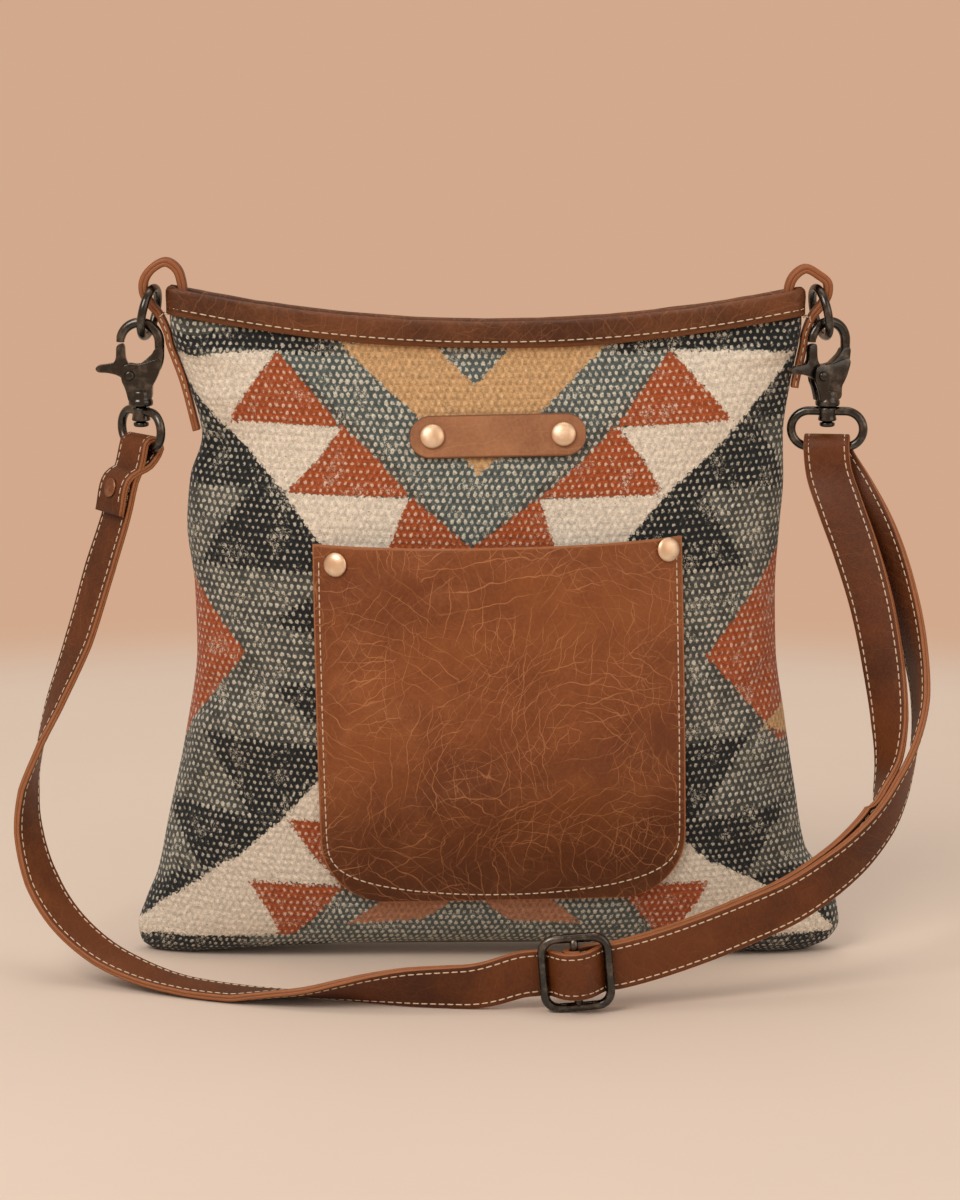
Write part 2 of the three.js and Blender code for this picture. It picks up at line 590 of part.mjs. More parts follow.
for (const { word, clasp, hookYaw, eyeYaw, hookTop } of sides) {
  const pieces = [
    [`${word}_clasp`, hookShape(hookTop), hookYaw],
    [`${word}_trigger`, gateShape(hookTop), hookYaw],
    [`${word}_trigger_pin`, pinShape(), hookYaw],
    [`${word}_eye`, eyeShape(), eyeYaw],
  ];
  for (const [name, shape, yaw] of pieces) {
    const mesh = add(name, shape, darkMetal);
    mesh.position.copy(clasp);
    mesh.rotation.z = THREE.MathUtils.degToRad(-yaw);
  }
}

// Strap: one flat leather band from the left eye, through the buckle, round the right eye and back
const barTop = ringHeight + eyeTop - 2 * eyeHalfHigh;
const barDrawn = 216.2; // height of the eyes' bottom bars that the heights below are drawn for
const foldRadius = wireRadius + 2 * gap + strapThick / 2;
const layerStep = strapThick + 0.5;
const buckleCentre = V(38.5, -96, 16.6);
const buckleAlong = V(0.996, 0, 0.085).normalize();
const buckleUp = V(-0.085, 0, 0.996).normalize();
const buckleFront = V(0, -1, 0);
const inBuckle = (s, n) =>
  buckleCentre.clone().addScaledVector(buckleAlong, s).addScaledVector(buckleFront, n);
// Half turn over the bottom bar of an eye, starting on the side that the direction points to
function foldOver(centre, from, wide) {
  return Array.from({ length: 7 }, (_, i) => {
    const turn = (Math.PI * i) / 6;
    const p = centre.clone().addScaledVector(from, foldRadius * Math.cos(turn));
    return { p: p.addScaledVector(up, foldRadius * Math.sin(turn)), w: wide };
  });
}
const hung = (x, y, z) => V(x, y, (z * barTop) / barDrawn);
const station = (x, y, z, a, b, c) => ({ p: hung(x, y, z), w: V(a, b, c).normalize() });
const leftYaw = THREE.MathUtils.degToRad(sides[0].eyeYaw);
const leftWide = V(Math.cos(leftYaw), -Math.sin(leftYaw), 0);
const leftFace = V(-Math.sin(leftYaw), -Math.cos(leftYaw), 0);
const leftBar = V(sides[0].clasp.x, sides[0].clasp.y, barTop);
const rightBar = V(sides[1].clasp.x, sides[1].clasp.y, barTop);
const rightYaw = THREE.MathUtils.degToRad(sides[1].eyeYaw);
const rightWide = V(Math.cos(rightYaw), -Math.sin(rightYaw), 0);
const rightFace = V(Math.sin(rightYaw), Math.cos(rightYaw), 0);
const wideAt = (v) => [v.x, v.y, v.z];

// Length under the left eye where two layers lie face to face under the rivet
const strapHold = [hung(-147.9, -6, 203), hung(-151.3, -7.9, 188.5)];
const strapOut = leftWide.clone().cross(strapHold[1].clone().sub(strapHold[0])).normalize();

const leftRun = [
  { p: strapHold[1].clone().addScaledVector(strapOut, -layerStep), w: leftWide },
  { p: strapHold[0].clone().addScaledVector(strapOut, -layerStep), w: leftWide },
  station(-141.6, -1.9, 209.5, ...wideAt(leftWide)),
  ...foldOver(leftBar, leftFace.clone().negate(), leftWide),
  station(-145.9, -4.8, 208, ...wideAt(leftWide)),
  { p: strapHold[0], w: leftWide },
  { p: strapHold[1], w: leftWide },
  station(-158, -12, 167, 0.66, -0.75, 0),
  station(-167, -17, 137, 0.6, -0.8, 0),
  station(-177, -22, 111, 0.35, -0.93, 0),
  station(-183, -25.5, 94, 0.05, -1, 0),
  station(-187.5, -29, 76, -0.25, -0.95, -0.1),
  station(-187.5, -33, 59, -0.36, -0.9, -0.18),
  station(-182, -38, 40, -0.38, -0.86, -0.3),
  station(-172, -44, 25, -0.3, -0.9, -0.28),
  station(-157, -51, 13, -0.2, -0.94, -0.22),
  station(-141, -58, 6.4, -0.1, -0.97, -0.14),
  station(-123, -66, 2.8, 0.05, -1, -0.03),
  station(-98, -76, 2, 0.15, -0.98, 0.04),
  station(-73, -83.5, 3, 0.12, -0.93, 0.32),
  station(-53, -88, 6.4, 0.06, -0.78, 0.62),
  station(-28, -91.5, 9, 0, -0.4, 0.9),
  station(0, -92.5, 10.2, -0.02, -0.12, 0.99),
];
// Over the bar and behind both sides of the frame
const overBar = [
  [-22, -3.4], [-15.6, -4], [-12.4, -4], [-9.7, -1.9], [-7, 2.2], [-5, 4.9], [-2.7, 6.5], [0, 7], [2.7, 6.5],
  [5, 4.9], [7, 2.2], [9.7, -1.9], [12.4, -4], [15.6, -4],
].map(([s, n]) => ({ p: inBuckle(s, n), w: buckleUp }));
const rightOuter = [
  station(69, -89, 21, -0.12, -0.02, 0.99),
  station(89, -84, 26.5, -0.2, -0.05, 0.98),
  station(107, -79, 32.5, -0.28, -0.1, 0.95),
  station(126, -73, 39.5, -0.36, -0.2, 0.91),
  station(142, -67, 48.5, -0.42, -0.33, 0.85),
  station(155, -61, 58, -0.45, -0.5, 0.74),
  station(166, -55, 70, -0.45, -0.7, 0.55),
  station(173.4, -48.5, 83, -0.33, -0.87, 0.38),
  station(179, -42, 98, -0.1, -0.98, 0.15),
  station(181.6, -35, 115, 0.15, -0.98, 0),
  station(179.8, -27, 135, 0.36, -0.93, 0),
  station(174.4, -19, 157, 0.58, -0.81, 0),
  station(165.4, -10.5, 180, 0.8, -0.6, 0),
  station(155, -3.4, 198, 0.95, -0.3, 0),
  station(147.4, 0.8, 210, 0.98, -0.14, 0),
];
// The returning layer leaves the eye on the front side and closes up behind the outer layer on its way down
const rightInner = [
  station(145, -7, 206, 0.99, -0.14, 0),
  station(149.2, -12.4, 193, 0.98, -0.18, 0),
  station(155.3, -18, 176, 0.94, -0.3, 0),
  station(161.8, -24.5, 154, 0.88, -0.46, 0),
  station(166.6, -32, 128, 0.8, -0.6, 0),
  station(168.6, -39, 107, 0.66, -0.75, 0.08),
  station(167.8, -44, 91, 0.4, -0.88, 0.24),
  station(163.6, -49.6, 77.5, 0.02, -0.9, 0.42),
];
const frameRadius = 5.6;
const buckleHalf = [13.15, 14.15];

// Smooth band: positions on a spline, width turned evenly and kept square to the path
function bandStations(marks, spacing) {
  const curve = new THREE.CatmullRomCurve3(marks.map(({ p }) => p), false, "centripetal");
  const stations = [];
  for (let i = 0; i < marks.length - 1; i += 1) {
    const length = marks[i].p.distanceTo(marks[i + 1].p);
    const steps = Math.max(Math.round(length / spacing), 1);
    for (let k = 0; k < steps; k += 1) stations.push([i, k / steps]);
  }
  stations.push([marks.length - 2, 1]);
  return stations.map(([i, k]) => {
    const t = (i + k) / (marks.length - 1);
    const p = curve.getPoint(t);
    const heading = curve.getTangent(t);
    const w = marks[i].w.clone().lerp(marks[i + 1].w, k);
    w.addScaledVector(heading, -w.dot(heading)).normalize();
    const n = heading.clone().cross(w);
    const reach = (Math.abs(w.z) * strapWide) / 2 + (Math.abs(n.z) * strapThick) / 2;
    if (p.z < reach) p.z = reach;
    return { p, a: w, b: n };
  });
}
const behind = ({ p, w }, next, step) => {
  const heading = next.p.clone().sub(p).normalize();
  const n = heading.cross(w).normalize();
  return { p: p.clone().addScaledVector(n, -step), w };
};
const innerSteps = [layerStep, layerStep, layerStep, layerStep, layerStep, layerStep + 0.5, layerStep + 1.3];
const innerLow = innerSteps.map((drop, i) => behind(rightOuter[i], rightOuter[i + 1], drop)).reverse();
const roundBar = [
  [15.6, -4 - layerStep], [12.4, -4 - layerStep], [8.4, -6.7], [5, -5.2], [2.2, -3.9], [0, -3.65], [-2.6, -2.6],
  [-3.65, 0], [-2.6, 2.6], [0, 3.65], [1.9, 3.1],
].map(([s, n]) => ({ p: inBuckle(s, n), w: buckleUp }));
const marks = [
  ...leftRun, ...overBar, ...rightOuter, ...foldOver(rightBar, rightFace, rightWide), ...rightInner,
  ...innerLow, ...roundBar,
];
const strapStations = bandStations(marks, 9);
const strapBand = sweep(strapStations, box(strapWide, strapThick));

// Rivet through both layers under the left eye
const strapSeat = strapHold[0].clone().lerp(strapHold[1], 0.3);
const strapGrip = strapThick + layerStep + 2 * capPlay;
const seatFace = strapSeat.clone().addScaledVector(strapOut, strapThick / 2 + capPlay);
add("strap", cut(strapBand, rivetHole(seatFace, strapOut, strapGrip)), strapLeather);
add("strap_rivet", rivet(seatFace, strapOut, strapGrip), rivetMetal);

// Buckle: rounded frame with a middle bar
const corners = [];
for (const [cs, cu, start] of [[1, 1, 0], [-1, 1, 90], [-1, -1, 180], [1, -1, 270]])
  for (let i = 0; i <= 4; i += 1) {
    const turn = THREE.MathUtils.degToRad(start + (90 * i) / 4);
    corners.push([
      cs * (buckleHalf[0] - frameRadius) + frameRadius * Math.cos(turn),
      cu * (buckleHalf[1] - frameRadius) + frameRadius * Math.sin(turn),
    ]);
  }
const framePoints = corners.map(([s, h]) => inBuckle(s, 0).addScaledVector(buckleUp, h));
const frame = sweep(flatPath(framePoints, buckleFront, true), round(wireRadius, 8), true);
const bar = rod(
  inBuckle(0, 0).addScaledVector(buckleUp, -buckleHalf[1]),
  inBuckle(0, 0).addScaledVector(buckleUp, buckleHalf[1]),
  wireRadius - 0.05, 8,
);
add("buckle", joined(frame, bar), darkMetal);

// The origin is the middle of the whole footprint, on the floor
const bounds = new THREE.Box3().setFromObject(group);
group.position.set(-(bounds.min.x + bounds.max.x) / 2, -(bounds.min.y + bounds.max.y) / 2, -bounds.min.z);
group.updateMatrixWorld(true);

export default group;
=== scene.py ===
import math

import bpy
import numpy as np
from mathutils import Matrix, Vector


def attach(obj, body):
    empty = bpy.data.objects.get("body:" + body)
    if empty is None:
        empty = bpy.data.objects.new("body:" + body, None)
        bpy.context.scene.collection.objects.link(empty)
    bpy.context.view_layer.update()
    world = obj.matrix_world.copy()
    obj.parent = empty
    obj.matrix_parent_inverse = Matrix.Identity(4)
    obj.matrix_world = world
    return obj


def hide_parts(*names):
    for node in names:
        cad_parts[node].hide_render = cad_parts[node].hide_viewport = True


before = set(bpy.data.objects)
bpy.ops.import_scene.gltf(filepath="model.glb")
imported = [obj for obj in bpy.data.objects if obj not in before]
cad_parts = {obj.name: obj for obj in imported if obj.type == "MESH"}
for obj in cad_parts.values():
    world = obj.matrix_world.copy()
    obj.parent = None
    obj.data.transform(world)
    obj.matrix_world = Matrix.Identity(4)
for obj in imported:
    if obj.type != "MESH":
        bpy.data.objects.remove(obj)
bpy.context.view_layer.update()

# Lengths are in millimetres in the bag's own axes; placed() moves them into the frame in metres
bagOrigin = np.array([4.031, 33.575, 0.0])
view = {"place": (0, -1477.2, 411.5), "aim": (0, 0, 151), "lens": 107.1}


def placed(points):
    return (np.asarray(points, float) + bagOrigin) * 0.001


cameraData = bpy.data.cameras.new("camera")
cameraData.lens = view["lens"]
camera = bpy.data.objects.new("camera", cameraData)
camera.location = placed(view["place"])
camera.rotation_euler = Vector(placed(view["aim"]) - placed(view["place"])).to_track_quat("-Z",
                                                                                          "Y").to_euler()
bpy.context.scene.collection.objects.link(camera)
bpy.context.scene.camera = camera
bpy.context.scene.view_settings.view_transform = "Standard"
print("stage: camera")


# Mesh tools
def gridFaces(rows, cols, roundAcross=False, roundAlong=False):
    # Quads between neighbours of a rows by cols grid; a round direction joins its last line to its first
    j, i = np.meshgrid(np.arange(rows if roundAlong else rows - 1),
                       np.arange(cols if roundAcross else cols - 1), indexing="ij")
    k, n = (i + 1) % cols, (j + 1) % rows
    return np.stack([j * cols + i, j * cols + k, n * cols + k, n * cols + i], -1).reshape(-1, 4)


def shellOf(points, roundAlong=False):
    # Closed shell of a grid whose rows are loops: side quads, and one flat face at each open end
    rows, cols = points.shape[:2]
    faces = gridFaces(rows, cols, True, roundAlong).tolist()
    if not roundAlong:
        faces += [list(range(cols))[::-1], [(rows - 1) * cols + i for i in range(cols)]]
    flat = points.reshape(-1, 3)
    quads = np.array([f for f in faces if len(f) == 4])
    a, b, c, d = (flat[quads[:, k]] - flat.mean(0) for k in range(4))
    volume = np.sum(a * np.cross(b, c)) + np.sum(a * np.cross(c, d))
    return flat, faces if volume > 0 else [f[::-1] for f in faces]


def together(parts):
    # Several shells as one: the points in a row, each shell's faces moved on by the points before it
    points, faces, start = [], [], 0
    for flat, some in parts:
        points.append(flat)
        faces += [[i + start for i in f] for f in some]
        start += len(flat)
    return np.concatenate(points), faces


def makePiece(name, shape, body, material, stands=(), marks=None, smooth=True):
    # A mesh object with its place in its points; marks are named values for each point
    points, faces = shape
    mesh = bpy.data.meshes.new(name)
    faces = faces if isinstance(faces, list) else faces.tolist()
    mesh.from_pydata(placed(points).tolist(), [], faces)
    for key, values in (marks or {}).items():
        values = np.asarray(values, np.float32)
        wide = values.ndim == 2
        layer = mesh.attributes.new(key, "FLOAT_VECTOR" if wide else "FLOAT", "POINT")
        layer.data.foreach_set("vector" if wide else "value", values.ravel())
    mesh.polygons.foreach_set("use_smooth", [smooth] * len(mesh.polygons))
    mesh.materials.append(material)
    mesh.validate()
    piece = bpy.data.objects.new(name, mesh)
    bpy.context.scene.collection.objects.link(piece)
    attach(piece, body)
    if stands:
        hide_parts(*stands)
    return piece


def thicken(piece, thick):
    # Inward from the face
    solid = piece.modifiers.new("thickness", "SOLIDIFY")
    solid.thickness, solid.offset, solid.use_even_offset = thick * 0.001, -1, True


def soften(piece, width, segments=2, angle=35):
    edge = piece.modifiers.new("edges", "BEVEL")
    edge.width, edge.segments, edge.limit_method = width * 0.001, segments, "ANGLE"
    edge.angle_limit = math.radians(angle)


def unit(v):
    return v / np.linalg.norm(v, axis=-1, keepdims=True)


def softCurve(table, t):
    # Cubic through the table's points; its slope at each is the harmonic mean of the slopes beside it
    x, y = np.array(table, float).T
    t = np.asarray(t, float)
    straight = np.diff(y) / np.diff(x)
    before, after = np.concatenate([straight[:1], straight]), np.concatenate([straight, straight[-1:]])
    both = before * after
    slope = np.where(both > 0, 2 * both / np.where(both > 0, before + after, 1), 0)
    i = np.clip(np.searchsorted(x, t, side="left") - 1, 0, len(x) - 2)
    wide = x[i + 1] - x[i]
    k = np.clip((t - x[i]) / wide, 0, 1)
    return (y[i] * (2 * k**3 - 3 * k**2 + 1) + slope[i] * wide * (k**3 - 2 * k**2 + k)
            + y[i + 1] * (3 * k**2 - 2 * k**3) + slope[i + 1] * wide * (k**3 - k**2))


def splineAt(marks, i, k):
    # Centripetal Catmull-Rom: share k of the way from mark i to the next, with its heading
    marks = np.asarray(marks, float)
    full = np.concatenate([[2 * marks[0] - marks[1]], marks, [2 * marks[-1] - marks[-2]]])
    p0, p1, p2, p3 = (full[i + n] for n in range(4))
    d0, d1, d2 = (np.sqrt(np.linalg.norm(b - a, axis=-1, keepdims=True)) + 1e-9
                  for a, b in ((p0, p1), (p1, p2), (p2, p3)))
    t1 = ((p1 - p0) / d0 - (p2 - p0) / (d0 + d1) + (p2 - p1) / d1) * d1
    t2 = ((p2 - p1) / d1 - (p3 - p1) / (d1 + d2) + (p3 - p2) / d2) * d1
    k = np.asarray(k, float)[:, None]
    point = (p1 * (2 * k**3 - 3 * k**2 + 1) + t1 * (k**3 - 2 * k**2 + k)
             + p2 * (3 * k**2 - 2 * k**3) + t2 * (k**3 - k**2))
    heading = (p1 * (6 * k**2 - 6 * k) + t1 * (3 * k**2 - 4 * k + 1)
               + p2 * (6 * k - 6 * k**2) + t2 * (3 * k**2 - 2 * k))
    return point, unit(heading)


def fineSteps(marks, spacing):
    # Mark numbers and shares so that neighbouring points lie about one spacing apart
    lengths = np.linalg.norm(np.diff(np.asarray(marks, float), axis=0), axis=1)
    counts = np.maximum(np.round(lengths / spacing).astype(int), 1)
    i = np.concatenate([np.repeat(np.arange(len(counts)), counts), [len(counts) - 1]])
    k = np.concatenate([np.arange(c) / c for c in counts] + [[1.0]])
    return i, k


def lengthAlong(points):
    return np.concatenate([[0], np.cumsum(np.linalg.norm(np.diff(points, axis=0), axis=1))])


def evenly(points, spacing, *others):
    # The same polyline with points one spacing apart, and the other arrays read at those places
    run = lengthAlong(points)
    spots = np.linspace(0, run[-1], max(int(round(run[-1] / spacing)), 2) + 1)
    return [np.stack([np.interp(spots, run, line) for line in values.T], -1) for values in (points, *others)]


def ringProfile(radius, count):
    turn = 2 * np.pi * (np.arange(count) + 0.5) / count
    return np.stack([radius * np.cos(turn), radius * np.sin(turn)], -1)


def spokes(count, first, second):
    # Directions round a circle, from the first axis towards the second
    turn = 2 * np.pi * np.arange(count) / count
    return np.cos(turn)[:, None] * first + np.sin(turn)[:, None] * second


def swept(path, across, upward, profile):
    # Profile point (s, t) at each station lies at path + s * across + t * upward
    profile = np.asarray(profile, float)
    if profile.ndim == 2:
        profile = np.broadcast_to(profile, (len(path),) + profile.shape)
    return path[:, None] + profile[..., :1] * across[:, None] + profile[..., 1:] * upward[:, None]


def flatTube(points, normal, profile, loop=False):
    # Tube along a path that stays in one plane
    points = np.asarray(points, float)
    if loop:
        heading = unit(np.roll(points, -1, 0) - np.roll(points, 1, 0))
    else:
        heading = unit(np.gradient(points, axis=0))
    normal = np.broadcast_to(normal, points.shape).astype(float)
    return shellOf(swept(points, normal, unit(np.cross(heading, normal)), profile), loop)


def turned(profile, centre, axis, count):
    # Profile of (radius, height) turned round an axis through the centre; its ends lie close to the axis
    axis = unit(np.asarray(axis, float))
    slanting = [0.31, 0.87, 0.39]
    side = unit(np.cross(axis, slanting))
    spoke = spokes(count, side, np.cross(axis, side))
    profile = np.asarray(profile, float)
    return shellOf(centre + profile[:, :1, None] * spoke[None] + profile[:, 1:, None] * axis)


def roundedTurn(profile, cuts):
    # The same profile with its corners cut off so many times, which rounds them
    profile = np.asarray(profile, float)
    for _ in range(cuts):
        a, b = profile[:-1], profile[1:]
        cut = np.stack([a * 0.8 + b * 0.2, a * 0.2 + b * 0.8], 1).reshape(-1, 2)
        profile = np.concatenate([profile[:1], cut, profile[-1:]])
    return profile


def waves(seed, count, shortest, longest, x, z):
    # Sum of sine waves with random headings and lengths, scaled to about -1 to 1
    rng = np.random.default_rng(seed)
    total = np.zeros_like(x)
    for _ in range(count):
        length, turn, phase = rng.uniform(shortest, longest), rng.uniform(0, np.pi), rng.uniform(0, 6.28)
        total += np.sin((x * np.cos(turn) + z * np.sin(turn)) * 2 * np.pi / length + phase)
    return total / np.sqrt(count)


def step(x, low, high):
    k = np.clip((x - low) / (high - low), 0, 1)
    return k * k * (3 - 2 * k)


stitch = {"radius": 0.28, "lift": 0.1, "sink": 0.4, "groove": 0.14}


def stitchShape(path, normals, pitch, long=2.7):
    # A five-sided spindle at each pitch along a line on a surface: thick in the middle, thin and sunk at its
    # ends
    path, normals = evenly(np.asarray(path, float), pitch, np.asarray(normals, float))
    middle = (path[1:] + path[:-1]) / 2
    heading = unit(path[1:] - path[:-1])
    normal = unit((normals[1:] + normals[:-1]) / 2)
    side = unit(np.cross(heading, normal))
    turn = 2 * np.pi * (np.arange(5) + 0.5) / 5
    along = np.array([-1, -0.7, 0.7, 1]) * long / 2
    thick = np.array([0.25, 1, 1, 0.25]) * stitch["radius"]
    lift = stitch["lift"] - stitch["sink"] * (along / long * 2) ** 2 * stitch["radius"]
    grid = (middle[:, None, None] + along[None, :, None, None] * heading[:, None, None]
            + thick[None, :, None, None] * (np.cos(turn)[None, None, :, None] * side[:, None, None]
                                            + np.sin(turn)[None, None, :, None] * normal[:, None, None])
            + lift[None, :, None, None] * normal[:, None, None])
    starts = (np.arange(len(middle)) * 20)[:, None, None]
    quads, ends = gridFaces(4, 5, True), np.array([[4, 3, 2, 1, 0], [15, 16, 17, 18, 19]])
    faces = (quads[None] + starts).reshape(-1, 4).tolist() + (ends[None] + starts).reshape(-1, 5).tolist()
    first = grid[0].reshape(-1, 3)
    a, b, c = (first - first.mean(0))[quads[0][:3]]
    if np.dot(a, np.cross(b, c)) < 0:
        faces = [f[::-1] for f in faces]
    return grid.reshape(-1, 3), faces


# Materials
def tint(red, green, blue):
    # Linear colour of an 8-bit display colour
    c = np.array([red, green, blue]) / 255
    return (*np.where(c <= 0.04045, c / 12.92, ((c + 0.055) / 1.055) ** 2.4).tolist(), 1.0)


class Finish:
    # A material and short calls for its nodes
    def __init__(self, name, roughness, **constant):
        self.material = bpy.data.materials.new(name)
        self.material.use_nodes = True
        self.tree = self.material.node_tree
        self.tree.nodes.clear()
        self.shader = self.node("ShaderNodeBsdfPrincipled")
        out = self.node("ShaderNodeOutputMaterial")
        self.tree.links.new(self.shader.outputs[0], out.inputs[0])
        self.set("Roughness", roughness)
        for key, value in constant.items():
            self.set(key.replace("_", " "), value)

    def node(self, kind, **settings):
        made = self.tree.nodes.new(kind)
        for key, value in settings.items():
            setattr(made, key, value)
        return made

    def plug(self, socket, value):
        if isinstance(value, bpy.types.NodeSocket):
            self.tree.links.new(value, socket)
        else:
            socket.default_value = value

    def set(self, name, value):
        self.plug(self.shader.inputs[name], value)

    def place(self):
        return self.node("ShaderNodeTexCoord").outputs["Object"]

    def mark(self, name, vector=False):
        return self.node("ShaderNodeAttribute", attribute_name=name).outputs["Vector" if vector else "Fac"]

    def parts(self, where):
        made = self.node("ShaderNodeSeparateXYZ")
        self.plug(made.inputs[0], where)
        return made.outputs

    def math(self, operation, a, b=0.0):
        made = self.node("ShaderNodeMath", operation=operation)
        for socket, value in zip(made.inputs, (a, b)):
            self.plug(socket, value)
        return made.outputs[0]

    def plus(self, a, b):
        return self.math("ADD", a, b)

    def times(self, a, b):
        return self.math("MULTIPLY", a, b)

    def swing(self, value, amount, middle=0.5):
        # How far the value lies above its middle, times the amount
        return self.times(self.math("SUBTRACT", value, middle), amount)

    def mixed(self, a, shareA, b, shareB):
        return self.plus(self.times(a, shareA), self.times(b, shareB))

    def stretch(self, where, longer, turn=(0, 0, 0)):
        # Turned first, then each axis made so many times longer
        made = self.node("ShaderNodeMapping", vector_type="TEXTURE")
        self.plug(made.inputs["Vector"], where)
        made.inputs["Scale"].default_value = longer
        made.inputs["Rotation"].default_value = turn
        return made.outputs[0]

    def noise(self, where, scale, detail=3.0, rough=0.5):
        made = self.node("ShaderNodeTexNoise")
        self.plug(made.inputs["Vector"], where)
        for key, value in (("Scale", scale), ("Detail", detail), ("Roughness", rough)):
            made.inputs[key].default_value = value
        return made.outputs["Fac"]

    def shaken(self, where, scale, amount):
        # The place moved about by a noise
        made = self.node("ShaderNodeTexNoise")
        self.plug(made.inputs["Vector"], where)
        made.inputs["Scale"].default_value = scale
        made.inputs["Detail"].default_value = 3
        centre = self.node("ShaderNodeVectorMath", operation="SUBTRACT")
        self.plug(centre.inputs[0], made.outputs["Color"])
        centre.inputs[1].default_value = (0.5, 0.5, 0.5)
        grow = self.node("ShaderNodeVectorMath", operation="SCALE")
        self.plug(grow.inputs[0], centre.outputs[0])
        grow.inputs["Scale"].default_value = amount
        total = self.node("ShaderNodeVectorMath", operation="ADD")
        self.plug(total.inputs[0], where)
        self.plug(total.inputs[1], grow.outputs[0])
        return total.outputs[0]

    def cells(self, where, scale):
        made = self.node("ShaderNodeTexVoronoi", feature="F1")
        self.plug(made.inputs["Vector"], where)
        made.inputs["Scale"].default_value = scale
        return made.outputs["Distance"]

    def fade(self, value, low, high, start=0.0, end=1.0):
        made = self.node("ShaderNodeMapRange", interpolation_type="SMOOTHSTEP")
        for key, v in (("Value", value), ("From Min", low), ("From Max", high), ("To Min", start),
                       ("To Max", end)):
            self.plug(made.inputs[key], v)
        return made.outputs[0]

    def blend(self, amount, low, high):
        made = self.node("ShaderNodeMix", data_type="RGBA")
        self.plug(made.inputs[0], amount)
        self.plug(made.inputs[6], low)
        self.plug(made.inputs[7], high)
        return made.outputs[2]

    def bump(self, height, distance, strength):
        # The distance is in millimetres
        made = self.node("ShaderNodeBump")
        made.inputs["Strength"].default_value = strength
        made.inputs["Distance"].default_value = distance * 0.001
        self.plug(made.inputs["Height"], height)
        self.set("Normal", made.outputs[0])


print("stage: tools")

# Kilim cloth. Its marks: clothSpot is the place on the flat cloth in millimetres, the others are how far
# a point lies outside each printed colour. shadedGold is painted shade: the gold yarn made darker and
# browner for the gold figure low on the front, where the cloth turns under
kilimColours = {
    "ground": (70, 70, 64), "groundPale": (92, 91, 83), "cream": (223, 206, 185), "orange": (170, 80, 36),
    "gold": (206, 160, 110), "shadedGold": (180, 122, 88), "teal": (90, 97, 92), "black": (28, 30, 30),
    "thread": (222, 210, 188), "speck": (96, 70, 52),
}
# The lattice of threads, and how far each colour's border strays along them
weave = {"pitch": 2.75, "row": 2.9, "round": 0.5, "ragged": 1.15, "teal": 1.2, "black": 2.2}
# How far the pale threads show through each colour
threadShows = {"ground": 0.68, "teal": 0.72, "black": 0.58, "shadedGold": 0.2, "gold": 0.34, "orange": 0.56,
               "cream": 0.0}


